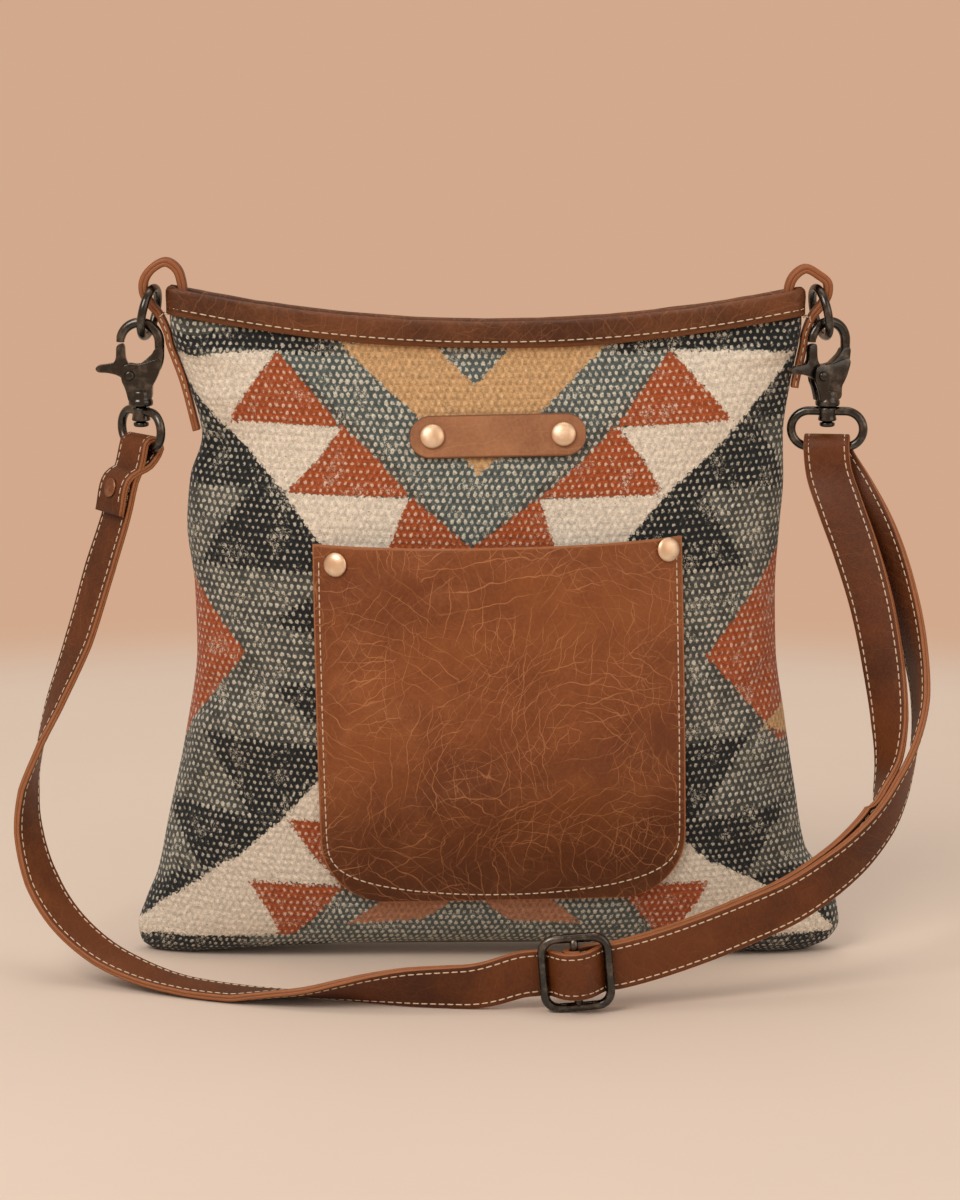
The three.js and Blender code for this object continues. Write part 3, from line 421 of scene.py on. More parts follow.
def kilimFinish():
    f = Finish("kilimCloth", 0.95, Sheen_Weight=0.12, Sheen_Roughness=0.6, Specular_IOR_Level=0.2)
    spot = f.mark("clothSpot", vector=True)
    x, y, _ = f.parts(f.shaken(f.shaken(spot, 0.12, 1.3), 1.1, 0.85))
    # Staggered lattice: cosine across times cosine along, 1 at each crossing of the threads; the second
    # cosine of the rows makes the crossings round
    across = f.math("COSINE", f.times(x, 2 * math.pi / weave["pitch"]))
    along = f.math("COSINE", f.times(y, math.pi / weave["row"]))
    rows = f.math("COSINE", f.times(y, 2 * math.pi / weave["row"]))
    lattice = f.times(across, along)
    knot = f.plus(lattice, f.swing(rows, weave["round"], 1.0))
    grain = f.noise(spot, 1.5, 3.0, 0.6)
    each = f.noise(spot, 0.42, 1.0)
    patch = f.noise(spot, 0.075, 3.0, 0.6)
    ragged = f.plus(f.times(lattice, 0.55), f.swing(f.noise(spot, 0.55, 2.0), 3.4))
    ragged = f.times(ragged, weave["ragged"])
    tone = f.blend(f.fade(patch, 0.35, 0.65), tint(*kilimColours["ground"]),
                   tint(*kilimColours["groundPale"]))
    showing = threadShows["ground"]
    # shadedGold is the gold yarn with painted shade on it
    for name in ("teal", "black", "shadedGold", "gold", "orange", "cream"):
        border = f.plus(f.mark(name), f.times(ragged, weave.get(name, 1.0)))
        inside = f.fade(border, -0.25, 0.25, 1.0, 0.0)
        tone = f.blend(inside, tone, tint(*kilimColours[name]))
        showing = f.mixed(inside, threadShows[name], f.math("SUBTRACT", 1.0, inside), showing)
    # Dye lies unevenly: darker and paler by the thread
    level = f.fade(f.mixed(grain, 0.6, each, 0.4), 0.32, 0.7, 0.68, 1.24)
    # Pale thread at the crossings, each one stronger or weaker; grey lets more of it through than black
    pale = knot
    for value, amount, usual in ((grain, 2.1, 0.5), (each, 3.0, 0.5), (patch, 1.6, 0.5),
                                 (showing, 3.4, 0.58)):
        pale = f.plus(pale, f.swing(value, amount, usual))
    dot = f.fade(pale, -0.1, 0.75)
    # Some crossings have a dyed middle
    middle = f.times(f.fade(knot, 0.72, 0.95), f.fade(f.noise(spot, 0.5, 0.0), 0.46, 0.56))
    dot = f.times(dot, f.math("SUBTRACT", 1.0, f.times(middle, 0.55)))
    # Worn places: short frayed threads in clusters
    fray = f.noise(f.stretch(f.shaken(spot, 0.5, 2.2), (0.7, 1.5, 1), (0, 0, 0.5)), 0.95, 2.0, 0.6)
    frayed = f.fade(f.math("ABSOLUTE", f.math("SUBTRACT", fray, 0.53)), 0.012, 0.05, 1.0, 0.0)
    cluster = f.fade(f.noise(spot, 0.1, 4.0, 0.65), 0.53, 0.64)
    worn = f.times(f.times(frayed, cluster), f.fade(grain, 0.36, 0.56))
    worn = f.times(worn, f.fade(showing, 0.3, 0.6, 0.2, 1.0))
    pale = f.math("MAXIMUM", f.times(dot, showing), f.times(worn, 0.9))
    tone = f.blend(pale, tone, tint(*kilimColours["thread"]))
    # A few dark specks of bast, and the shade between the yarns
    specks = f.times(f.fade(f.noise(spot, 0.8, 1.0), 0.745, 0.775), 0.75)
    tone = f.blend(specks, tone, tint(*kilimColours["speck"]))
    hollow = f.fade(f.plus(lattice, f.math("SUBTRACT", grain, 0.5)), -0.8, 0.5,
                    f.fade(showing, 0.0, 0.3, 0.87, 0.74), 1.05)
    shade = f.node("ShaderNodeMix", data_type="RGBA", blend_type="MULTIPLY")
    for socket, value in ((0, 1.0), (6, tone), (7, f.times(hollow, level))):
        f.plug(shade.inputs[socket], value)
    f.set("Base Color", shade.outputs[2])
    f.bump(f.plus(f.times(knot, f.fade(showing, 0.0, 0.3, 0.26, 0.42)), f.times(grain, 0.7)), 0.6, 1.0)
    return f.material


# Pale crease lines in leather: the heading in radians, how fine the lines are, and how fine their patches
creaseLines = [(0.15, 46, 40), (0.6, 66, 30), (1.0, 52, 46), (1.4, 40, 34), (1.8, 60, 42), (2.2, 50, 32),
               (2.6, 70, 48), (3.0, 56, 38)]


def scratches(f, where):
    # Lines that cross: for each heading the thin crests of bent waves, kept only in patches
    total = 0.0
    for heading, fineness, patch in creaseLines:
        place = f.stretch(where, (1, 1, 1), (0.0, heading, 0.0))
        wave = f.node("ShaderNodeTexWave", wave_type="BANDS", bands_direction="X", wave_profile="SIN")
        f.plug(wave.inputs["Vector"], place)
        for key, value in (("Scale", fineness), ("Distortion", 4.6), ("Detail", 2.5), ("Detail Scale", 1.5),
                           ("Detail Roughness", 0.5), ("Phase Offset", heading * 9)):
            wave.inputs[key].default_value = value
        line = f.fade(wave.outputs["Fac"], 0.988, 0.9995)
        total = f.plus(total, f.times(line, f.fade(f.noise(place, patch, 2.0), 0.47, 0.68)))
    return f.math("MINIMUM", total, 1.0)


def darker(colour, share):
    return tint(*[c * share for c in colour])


def leatherFinish(name, dark, base, pale, roughness, veins, edge, low=None):
    # Waxed leather: cloudy base, pale crease lines, fine grain, and a raw edge where marked; low gives two
    # heights in metres, between which it grows darker as painted shade, and how dark it is below them
    f = Finish(name, roughness, Specular_IOR_Level=0.3, Coat_Weight=0.03, Coat_Roughness=0.35)
    where = f.place()
    cloud = f.noise(where, 17, 6.0, 0.62)
    tone = f.blend(f.fade(f.mixed(cloud, 0.75, f.noise(where, 700, 3.0, 0.7), 0.25), 0.36, 0.64),
                   tint(*dark), tint(*base))
    # Painted shade: the leather grows darker towards the bottom, where it curves under and faces down
    if low is not None:
        high = f.plus(f.parts(where)[2], f.swing(cloud, 0.05))
        tone = f.blend(f.fade(high, low[0], low[1], low[2], 0.0), tone, darker(dark, 0.62))
    crease = scratches(f, where)
    tone = f.blend(f.times(crease, 0.56 * veins), tone, tint(*pale))
    rubbed = f.fade(f.noise(where, 30, 6.0, 0.7), 0.52, 0.82, 0.0, 0.3)
    tone = f.blend(rubbed, tone, tint(*pale))
    layer = f.noise(f.stretch(f.mark("spot", vector=True), (4.0, 0.62, 0.62)), 1.4, 4.0, 0.7)
    raw = f.blend(layer, darker(edge, 0.62), tint(*edge))
    raw = f.blend(f.mark("groove"), raw, darker(edge, 0.42))  # the line between two plies
    tone = f.blend(f.fade(f.plus(f.mark("rawEdge"), f.times(layer, 0.25)), 0.45, 0.75), tone, raw)
    f.set("Base Color", tone)
    f.set("Roughness", f.fade(cloud, 0.2, 0.8, roughness - 0.08, roughness + 0.12))
    grain = f.mixed(f.cells(where, 1100), 0.3, f.noise(where, 260, 5.0, 0.65), 0.7)
    f.bump(f.math("SUBTRACT", grain, f.times(crease, 0.25)), 0.2, 0.8)
    return f.material


def metalFinish(name, base, rub, roughness, speckle=0.4, metallic=1.0):
    # Plated metal: darker in patches, rubbed bright where a fine noise is high
    f = Finish(name, roughness, Metallic=metallic)
    where = f.place()
    patch = f.noise(where, 180, 4.0, 0.6)
    fine = f.noise(where, 900, 3.0, 0.6)
    tone = f.blend(f.fade(patch, 0.45, 0.75, 0.0, speckle), tint(*base), tint(*rub))
    f.set("Base Color", tone)
    f.set("Roughness", f.fade(patch, 0.3, 0.7, roughness - 0.07, roughness + 0.1))
    f.bump(f.mixed(patch, 0.7, fine, 0.3), 0.12, 0.5)
    return f.material


def threadFinish():
    f = Finish("stitchThread", 0.8, Sheen_Weight=0.2)
    twist = f.noise(f.place(), 1500, 2.0)
    f.set("Base Color", f.blend(twist, tint(190, 158, 126), tint(228, 206, 178)))
    f.bump(twist, 0.15, 0.6)
    return f.material


def plainClothFinish(name, dark, base, fine):
    # Plain weave: two crossed fine waves
    f = Finish(name, 0.92, Sheen_Weight=0.1)
    where = f.place()
    x, _, z = f.parts(where)
    weft = f.times(f.math("SINE", f.times(x, fine)), f.math("SINE", f.times(z, fine)))
    f.set("Base Color", f.blend(f.fade(f.plus(weft, f.noise(where, 60)), -0.6, 1.2), tint(*dark),
                                tint(*base)))
    f.bump(weft, 0.15, 0.6)
    return f.material


kilim = kilimFinish()
# The pocket's low heights paint shade onto its lower part
pocketLeather = leatherFinish("pocketLeather", (106, 52, 20), (138, 76, 34), (190, 126, 80), 0.5, 1.0,
                              (182, 112, 66), low=(0.02, 0.11, 0.7))
loopLeather = leatherFinish("loopLeather", (104, 54, 26), (140, 78, 40), (176, 112, 68), 0.5, 0.4,
                            (176, 104, 60))
tabLeather = leatherFinish("tabLeather", (134, 84, 52), (166, 112, 74), (194, 142, 104), 0.62, 0.3,
                           (140, 86, 54))
lipLeather = leatherFinish("lipLeather", (70, 35, 12), (112, 62, 28), (160, 104, 62), 0.55, 0.6,
                           (146, 88, 50))
strapLeather = leatherFinish("strapLeather", (66, 29, 5), (101, 50, 13), (144, 84, 38), 0.52, 0.3,
                             (178, 108, 62))
darkMetal = metalFinish("darkMetal", (70, 71, 70), (158, 152, 142), 0.24)
rivetMetal = metalFinish("rivetMetal", (232, 204, 172), (252, 238, 216), 0.42, 0.8, 0.8)
capMetal = metalFinish("capMetal", (142, 104, 82), (190, 152, 124), 0.4, 0.8)
zipMetal = metalFinish("zipMetal", (120, 98, 66), (176, 150, 110), 0.4)
thread = threadFinish()
liningCloth = plainClothFinish("liningCloth", (140, 122, 98), (188, 170, 142), 6000)
zipCloth = plainClothFinish("zipCloth", (34, 24, 18), (62, 46, 36), 9000)
print("stage: materials")

# The stuffed body: side seams by height, half depth by share of the height, and how full its section is
body = {
    "high": 284.0, "rim": 267.2, "rimRadius": 620.0, "rimCentre": 4.0, "cloth": 1.4, "gap": 0.3,
    "seamLeft": [(0, -139), (4, -144.3), (11, -145.7), (21, -142.6), (36, -136.8), (60, -131.8), (96, -124.2),
                 (134, -119), (160, -119.6), (186, -122.5), (206, -121), (225, -115.8), (246, -121),
                 (262, -126.5), (271, -128.5), (284, -128.5)],
    "seamRight": [(0, 139), (5, 149), (12, 153), (24, 151), (36, 144.5), (46, 138), (74, 133), (104, 128.4),
                  (134, 124.4), (160, 123.8), (186, 125.2), (206, 126.6), (225, 126.2), (246, 128.8),
                  (262, 132), (271, 133.2), (284, 133.2)],
    "halfDepth": [(0, 0), (0.0015, 9), (0.007, 13), (0.02, 17.5), (0.05, 22.5), (0.1, 27.5), (0.16, 31.3),
                  (0.25, 35.2), (0.36, 37.2), (0.5, 35.4), (0.64, 30), (0.76, 23), (0.86, 16), (0.92, 11.2),
                  (0.955, 7.7), (1, 7.7)],
    "fullness": [(0, 5), (0.08, 3.2), (0.2, 2.4), (0.5, 2.3), (0.75, 3), (0.9, 8), (0.955, 60), (1, 60)],
}


def rimHeight(x):
    return body["rim"] + body["rimRadius"] - np.sqrt(body["rimRadius"] ** 2 - (x - body["rimCentre"]) ** 2)


def footHeight(x):
    return 5.5 * np.maximum(1 - (x / 124) ** 2, 0)


def bodyPoint(side, u, v, inset=0.0):
    # u runs between the side seams and v from foot to rim; the section is a superellipse of the half depth
    left = softCurve(body["seamLeft"], v * body["high"]) + inset
    right = softCurve(body["seamRight"], v * body["high"]) - inset
    x = (left + right) / 2 + (right - left) / 2 * u
    foot = footHeight(x) + inset
    depth = np.maximum(softCurve(body["halfDepth"], v) - inset, 0)
    y = side * depth * np.sqrt(np.maximum(1 - np.abs(u) ** softCurve(body["fullness"], v), 0))
    return np.stack([x, y, foot + v * (rimHeight(x) - foot)], -1)


# Creases in the cloth: from (x, z) to (x, z), width, and depth, negative inward
creases = {
    "front": [((-122, 226), (-92, 205), 6, -2.6), ((-116, 212), (-86, 228), 5, -1.6),
              ((-124, 108), (-98, 122), 5, -3.0), ((-126, 92), (-96, 100), 8, 2.0),
              ((-134, 58), (-100, 84), 7, -1.8), ((-140, 28), (-104, 50), 7, 1.6),
              ((126, 232), (100, 196), 8, -1.8), ((124, 196), (96, 226), 7, 1.3),
              ((126, 128), (104, 108), 6, -2.2), ((136, 64), (104, 92), 7, -2.0),
              ((142, 44), (106, 62), 6, 1.4), ((116, 34), (146, 22), 6, -1.5),
              ((-123, 119), (-100, 131), 2.6, 1.4), ((-125, 99), (-102, 108), 2.4, 1.2),
              ((-120, 219), (-92, 197), 2.4, 1.2), ((-116, 237), (-94, 240), 2.6, 1.1),
              ((125, 221), (102, 189), 2.6, 1.1), ((126, 137), (104, 119), 2.6, 1.3),
              ((136, 74), (106, 99), 2.6, 1.2), ((-134, 68), (-102, 93), 2.6, 1.2),
              ((-139, 37), (-108, 57), 2.4, 1.1), ((141, 53), (108, 73), 2.4, 1.1),
              ((-60, 22), (-84, 40), 3, 0.9), ((96, 226), (60, 236), 3, 0.9)],
    "back": [((-122, 226), (-70, 190), 8, -2.6), ((-118, 150), (-40, 128), 12, -2.2),
             ((-128, 92), (-60, 104), 10, 2.2), ((-138, 40), (-70, 72), 9, -2.0),
             ((126, 232), (70, 180), 9, -2.2), ((124, 150), (50, 140), 12, 2.0),
             ((132, 84), (60, 90), 9, -2.4), ((140, 40), (80, 70), 9, 1.8),
             ((-30, 250), (20, 190), 14, -1.6)],
}


def creasing(places, x, z):
    # Sum of soft ridges: depth times a bell over the distance to each segment, fading to its end
    total = np.zeros_like(x)
    for (x0, z0), (x1, z1), wide, deep in places:
        run = np.array([x1 - x0, z1 - z0])
        k = np.clip(((x - x0) * run[0] + (z - z0) * run[1]) / (run @ run), 0, 1)
        away = (x - x0 - k * run[0]) ** 2 + (z - z0 - k * run[1]) ** 2
        total += deep * np.exp(-away / (2 * (wide * (0.7 + 0.6 * k)) ** 2)) * (1 - 0.5 * k)
    return total


def clothGrid(side):
    # The body surface, with creases and slow waves that fade out at the seams, the rim and the leather
    columns, rows = 150, 150
    v = np.concatenate([[0, 0.0008, 0.002, 0.004, 0.007, 0.011, 0.016], np.linspace(0.022, 1, rows)])
    u, v = np.meshgrid(-np.cos(np.pi * np.arange(columns + 1) / columns), v)
    points = bodyPoint(side, u, v)
    x, z = points[..., 0], points[..., 2]
    outward = unit(np.cross(np.gradient(points, axis=1), np.gradient(points, axis=0)) * side * -1)
    free = step(1 - np.abs(u), 0.004, 0.06) * step(rimHeight(x) - z, 13, 40) * step(z, 4, 22)
    if side < 0:
        inPocket = step(84 - np.abs(x - 8.6), 0, 12) * step(188 - z, 0, 8) * step(z - 20, 0, 10)
        inTab = step(42 - np.abs(x - 7.4), 0, 8) * step(14 - np.abs(z - 222.6), 0, 6)
        free = free * (1 - inPocket) * (1 - inTab)
    push = creasing(creases["front" if side < 0 else "back"], x, z) + 0.55 * waves(4 - side, 9, 34, 95, x, z)
    points = points + outward * (push * free)[..., None]
    points[..., 1] += side * body["gap"] / 2
    across = np.concatenate([np.zeros((len(u), 1)),
                             np.cumsum(np.linalg.norm(np.diff(points, axis=1), axis=2), 1)], 1)
    across -= across[:, columns // 2: columns // 2 + 1]
    along = np.concatenate([np.zeros((1, columns + 1)),
                            np.cumsum(np.linalg.norm(np.diff(points, axis=0), axis=2), 0)])
    middle = int(np.argmin(np.abs(v[:, 0] - 0.5)))
    along -= along[middle: middle + 1]
    return points, across, along


# Print: corners on the flat cloth, as distance from middleLine and height above half the cloth's height. Each
# figure is drawn on both sides of the middle, and again upside down about mirrorLine
mirrorLine, middleLine = -6.5, -5.0
figures = {
    "teal": [[(81.5, 122.5), (-81.5, 122.5), (0, 41.5)]],
    "black": [[(60, 138), (150, 142), (150, 122.5), (60, 122.5)],
              [(150, 138), (116, 122), (112, 92), (150, 88)], [(118, 122), (62, 41), (90, 64), (114, 91)],
              [(113, 91), (84, 64), (136, 61)], [(90, 66), (58, 35), (64, 31), (92, 64)],
              [(92, 64.5), (62, 35), (64, 30), (116, 29.5)], [(81, 6), (81, 9.5), (64, 21), (64, 4.5)]],
    "cream": [[(135, 117.8), (81.5, 122.5), (106.9, 88.5)], [(109.5, 91), (57, 90.5), (78.5, 61.5)],
              [(79.5, 62), (27, 61.8), (38, 30), (52, 30)]],
    "orange": [[(81.5, 122.5), (107.5, 89.5), (57, 91)], [(56.5, 91.5), (79, 61.5), (26.5, 62.2)],
               [(26.5, 62.5), (46, 38), (0, 36), (0, 41.5)], [(97, -6.5), (133, 34), (170, 34), (170, -6.5)]],
}
# Figures that are printed once, with their real side
single = {
    "gold": [[(56, 127), (16.5, 127), (-1, 108), (-1, 71)], [(-56, 127), (-16.5, 127), (1, 108), (1, 71)],
             [(123, -39.8), (142, -28), (170, -24), (170, -52), (144.4, -46.6)]],
    # Painted shade: the gold figure low on the front, made darker and browner where the cloth turns under
    "shadedGold": [[(-5, -103.5), (-33, -103.5), (-54.6, -122.8), (-22.7, -120.3)],
             [(-5, -103.5), (23, -103.5), (44.6, -122.5), (12.7, -120.5)]],
    "cream": [[(102, -95), (154, -132.5), (150, -137), (82, -130)],
              [(-102, -95), (-154, -132.5), (-150, -137), (-82, -130)]],
    "black": [[(154, -128), (96, -130), (96, -134), (154, -142)],
              [(-154, -128), (-96, -130), (-96, -134), (-154, -142)]],
}
# Grey places that lie over the black
greyOver = [[(-140, 142), (-98, 142), (-98, 129.5), (-140, 126.5)],
            [(-150, -86), (-133, -86), (-126, -105), (-150, -114)]]
hem = [(-170, -139), (-140, -135.3), (-85, -129.3), (85, -128.5), (140, -133.5), (170, -138), (170, -160),
       (-170, -160)]


def outsideOf(corners, a, w):
    # Distance outside a convex figure: the largest of its signed distances to its sides
    corners = np.array(corners, float)
    area = np.sum(corners[:, 0] * np.roll(corners[:, 1], -1) - np.roll(corners[:, 0], -1) * corners[:, 1])
    corners = corners if area > 0 else corners[::-1]
    far = np.full(a.shape, -1e9)
    for (x0, y0), (x1, y1) in zip(corners, np.roll(corners, -1, 0)):
        long = math.hypot(x1 - x0, y1 - y0)
        far = np.maximum(far, ((a - x0) * (y1 - y0) - (w - y0) * (x1 - x0)) / long)
    return far


def printMarks(across, along):
    a, w = across - middleLine, along
    marks = {}
    for colour in ("teal", "black", "shadedGold", "gold", "orange", "cream"):
        far = np.full(a.shape, 60.0)
        for corners in figures.get(colour, ()):
            for height in (w, 2 * mirrorLine - w):
                far = np.minimum(far, outsideOf(corners, np.abs(a), height))
        for corners in single.get(colour, ()):
            far = np.minimum(far, outsideOf(corners, a, w))
        marks[colour] = far
    below = outsideOf(hem, a, w)
    for colour in ("cream", "orange", "gold", "shadedGold"):
        marks[colour] = np.maximum(marks[colour], -below)
    marks["teal"] = np.minimum(marks["teal"], below)
    # Gold lies over the orange
    marks["orange"] = np.maximum(marks["orange"], -outsideOf(single["gold"][2], a, w))
    for corners in greyOver:
        marks["black"] = np.maximum(marks["black"], -outsideOf(corners, a, w))
    return {key: value.ravel() for key, value in marks.items()}


for side, name, node in ((-1, "frontCloth", "front_panel"), (1, "backCloth", "back_panel")):
    points, across, along = clothGrid(side)
    rows, cols = points.shape[:2]
    faces = gridFaces(rows, cols)
    marks = printMarks(across, along)
    marks["clothSpot"] = np.stack([across, along, 0 * across], -1).reshape(-1, 3)
    faces = faces if side < 0 else faces[:, ::-1]
    cloth = makePiece(name, (points.reshape(-1, 3), faces), "bag", kilim, [node], marks)
    thicken(cloth, body["cloth"])
print("stage: cloth")

# Lining: one inner bag, open at the top
liningData = {"play": 0.5, "slack": 3.6, "thick": 0.8, "top": 0.94}
u = -np.cos(np.pi * np.arange(61) / 60)
v = np.concatenate([[0.0015, 0.008], np.linspace(0.02, liningData["top"], 60)])
slack = liningData["slack"] * step(v, 0.02, 0.2) * step(v, 0.94, 0.84)
inset = (body["cloth"] + liningData["play"] + slack)[:, None]
fullTurn = [bodyPoint(side, uu, vv, inset)
            for side, (uu, vv) in ((-1, np.meshgrid(u[:-1], v)), (1, np.meshgrid(u[:0:-1], v)))]
innerBag = np.concatenate(fullTurn, axis=1)
rows, cols = innerBag.shape[:2]
wrinkle = 0.5 * waves(11, 9, 18, 60, innerBag[..., 0], innerBag[..., 2])
innerBag[..., 1] *= 1 - 0.03 * np.abs(wrinkle) * step(v, 0, 0.1)[:, None]
faces = gridFaces(rows, cols, True).tolist() + [list(range(cols))[::-1]]
lining = makePiece("liningBag", (innerBag.reshape(-1, 3), faces), "bag", liningCloth,
                   ["lining"])
thicken(lining, liningData["thick"])


def frontY(x, z):
    # Where the front of the body lies at a place
    foot = footHeight(x)
    v = (z - foot) / (rimHeight(x) - foot)
    left, right = (softCurve(body[key], v * body["high"]) for key in ("seamLeft", "seamRight"))
    u = (2 * x - left - right) / (right - left)
    fullness = np.maximum(1 - np.abs(u) ** softCurve(body["fullness"], v), 0)
    return -softCurve(body["halfDepth"], v) * np.sqrt(fullness)


def frontNormal(x, z):
    reach = 2
    slopeX = (frontY(x + reach, z) - frontY(x - reach, z)) / (2 * reach)
    slopeZ = (frontY(x, z + reach) - frontY(x, z - reach)) / (2 * reach)
    return unit(np.stack([slopeX, -np.ones_like(slopeX), slopeZ], -1))


def offFront(x, z, away):
    return np.stack([x, frontY(x, z), z], -1) + frontNormal(x, z) * np.asarray(away)[..., None]


# Leather pocket, riveted at its top corners and sewn round the other three sides
pocketData = {"centre": 8.6, "half": 75.6, "foot": 29.5, "top": 180.6, "tall": 151, "corner": 27.0,
              "turn": 0.021, "cornerEnd": 0.19, "bulge": 5.4, "yawn": 5.0, "sag": 3.2, "thick": 2.0,
              "stitchIn": 2.6, "ripple": 0.35}


# How far sewn leather lies off the cloth
sewnGap = 0.15


def pocketPoint(s, t, away):
    # s runs across and t upward; the lower corners are round, the top sags and stands away from the cloth
    d = pocketData
    high = t * (d["top"] - d["foot"])
    short = np.minimum(high, d["corner"])
    shrink = d["corner"] - np.sqrt(d["corner"] ** 2 - (d["corner"] - short) ** 2)
    across = s * (d["half"] - shrink)
    z = d["foot"] + high - d["sag"] * t**4 * (1 - s * s)
    x, z = d["centre"] + across - d["turn"] * (z - 105), z + d["turn"] * across
    stand = d["bulge"] * np.minimum(t / 0.3, 1) ** 1.5 + d["yawn"] * step(t, 0.6, 1)
    stand = stand * (1 - np.abs(s) ** 2.6)
    ripple = d["ripple"] * waves(21, 8, 14, 55, x, z) * np.clip(stand / 3, 0, 1)
    return offFront(x, z, body["gap"] + sewnGap + stand + away + ripple)


s = np.sin(np.linspace(-1, 1, 111) * np.pi / 2)
t = np.concatenate([[0, 0.003, 0.008, 0.016, 0.028], np.linspace(0.042, 1, 84)])
sGrid, tGrid = np.meshgrid(s, t)
pocketGrid = pocketPoint(sGrid, tGrid, pocketData["thick"])
rows, cols = pocketGrid.shape[:2]
spot = np.stack([sGrid * pocketData["half"], tGrid * pocketData["tall"], 0 * sGrid], -1)
rim = np.maximum(step(np.abs(sGrid), 0.986, 0.999),
                 np.maximum(step(tGrid, 0.994, 1), step(tGrid, 0.004, 0.0)))
pocket = makePiece("leatherPocket", (pocketGrid.reshape(-1, 3), gridFaces(rows, cols)), "bag", pocketLeather,
                   ["pocket"], {"spot": spot.reshape(-1, 3), "rawEdge": rim.ravel()})
thicken(pocket, pocketData["thick"])
soften(pocket, 0.35)


def normalsOf(point, s, t):
    across = point(s + 0.01, t) - point(s - 0.01, t)
    upward = point(s, t + 0.01) - point(s, t - 0.01)
    return unit(np.cross(across, upward))


def pocketFace(s, t):
    return pocketPoint(s, np.clip(t, 0, 1), pocketData["thick"])


# Stitch line: down the left side, round the foot and up the right side, a little inside the edge
tIn, sIn = pocketData["stitchIn"] / pocketData["tall"], 1 - pocketData["stitchIn"] / pocketData["half"]
cornerT = pocketData["cornerEnd"]
downSide = np.linspace(0.955, cornerT, 90)
roundFoot = np.linspace(0, np.pi, 120)
sLine = np.concatenate([np.full(90, -sIn), -np.cos(roundFoot) * sIn, np.full(90, sIn)])
tLine = np.concatenate([downSide, cornerT - (cornerT - tIn) * np.sin(roundFoot) ** 0.42, downSide[::-1]])
pocketStitches = stitchShape(pocketFace(sLine, tLine),
                             normalsOf(pocketFace, sLine, np.clip(tLine, 0.011, 0.98)), 3.3, 2.5)
makePiece("pocketStitches", pocketStitches, "bag", thread)

# Small leather tab, left bare
tabData = {"half": 36.2, "tall": 17.0, "x": 7.4, "z": 222.6, "turn": 0.02, "thick": 2.0}


def tabPoint(s, t, away):
    # Straight bar with round ends: its height shrinks along a quarter ellipse near both ends
    d = tabData
    end = np.clip((np.abs(s) - 0.77) / 0.235, 0, 1)
    rise = t * d["tall"] / 2 * np.sqrt(np.maximum(1 - end**2, 0))
    return offFront(d["x"] + s * d["half"], d["z"] + rise + d["turn"] * s * d["half"],
                    body["gap"] + sewnGap + away)


s = np.sin(np.linspace(-1, 1, 61) * np.pi / 2)
sGrid, tGrid = np.meshgrid(s, np.linspace(-1, 1, 17))
tabGrid = tabPoint(sGrid, tGrid, tabData["thick"] + 0.0 * sGrid)
rows, cols = tabGrid.shape[:2]
rim = step(np.maximum(np.abs(tGrid), np.abs(sGrid) ** 6), 0.93, 1)
spot = np.stack([sGrid * 36, tGrid * 8.5, 0 * sGrid], -1)
tab = makePiece("leatherTab", (tabGrid.reshape(-1, 3), gridFaces(rows, cols)), "bag", tabLeather,
                ["tab"], {"spot": spot.reshape(-1, 3), "rawEdge": rim.ravel()})
thicken(tab, tabData["thick"])
soften(tab, 0.4)

# Rivets: cap, post and washer turned in one profile
rivetData = {"cap": 5.0, "rise": 2.1, "post": 1.9, "washer": 4.0, "play": 0.35}
wall = body["cloth"] + liningData["play"] + liningData["thick"]


def rivetShape(seat, outward, grip):
    d, g = rivetData, body["gap"]
    dome = [(0.01, g + d["rise"]), (1.5, g + d["rise"] - 0.07), (2.8, g + d["rise"] - 0.33),
            (3.9, g + d["rise"] - 0.78), (4.6, g + 0.85), (4.95, g + 0.45), (d["cap"], g + 0.2), (4.85, g)]
    under = [(d["post"], g), (d["post"], -grip - g), (d["washer"], -grip - g), (d["washer"], -grip - g - 0.7),
             (d["washer"] - 0.4, -grip - g - 1), (0.01, -grip - g - 1)]
    return turned(dome + under, seat, outward, 48)


rivets = [("pocketRivetLeft", "pocket_rivet_left", -58.5, 171.3, False),
          ("pocketRivetRight", "pocket_rivet_right", 76.4, 174.2, False),
          ("tabRivetLeft", "tab_rivet_left", -19.6, 222.2, True),
          ("tabRivetRight", "tab_rivet_right", 34.4, 223.1, True)]
for name, node, x, z, onTab in rivets:
    x, z = np.array([x]), np.array([z])
    if onTab:
        seat, outward = offFront(x, z, body["gap"] + sewnGap + tabData["thick"])[0], frontNormal(x, z)[0]
    else:
        d = pocketData
        t = (z + d["sag"] / 2 - d["foot"]) / (d["top"] - d["foot"])
        s = (x - d["centre"] + d["turn"] * (z - 105)) / d["half"]
        seat = pocketFace(s, t)[0]
        outward = unit(np.cross(pocketFace(s + 0.03, t) - pocketFace(s - 0.03, t),
                                pocketFace(s, t + 0.015) - pocketFace(s, t - 0.015)))[0]
    depth = np.linalg.norm(seat - [seat[0], frontY(seat[0], seat[2]), seat[2]]) + wall + 1.4
    makePiece(name, rivetShape(seat + outward * rivetData["play"], outward, depth + rivetData["play"]), "bag",
              rivetMetal, [node])
print("stage: pocket and tab")

# Leather lips folded over the rim, stitched near the lower edge
lipData = {"stations": 240, "reach": 0.9985, "wall": 1.2, "drop": 9.0, "top": 1.3, "stitchUp": 2.4,
           "ripple": 0.3}


def lipPath(side):
    # The rim between the two ends, with the direction across it; its points draw close towards the ends
    count = lipData["stations"]
    share = np.sin(np.linspace(-1, 1, count) * np.pi / 2 * 0.96) / math.sin(np.pi / 2 * 0.96)
    path = bodyPoint(side, share * lipData["reach"], np.ones(count))
    path[:, 1] += side * body["gap"] / 2
    heading = unit(np.gradient(path, axis=0) * [1, 1, 0])
    return path, np.stack([heading[:, 1], -heading[:, 0], 0 * heading[:, 0]], -1) * -side


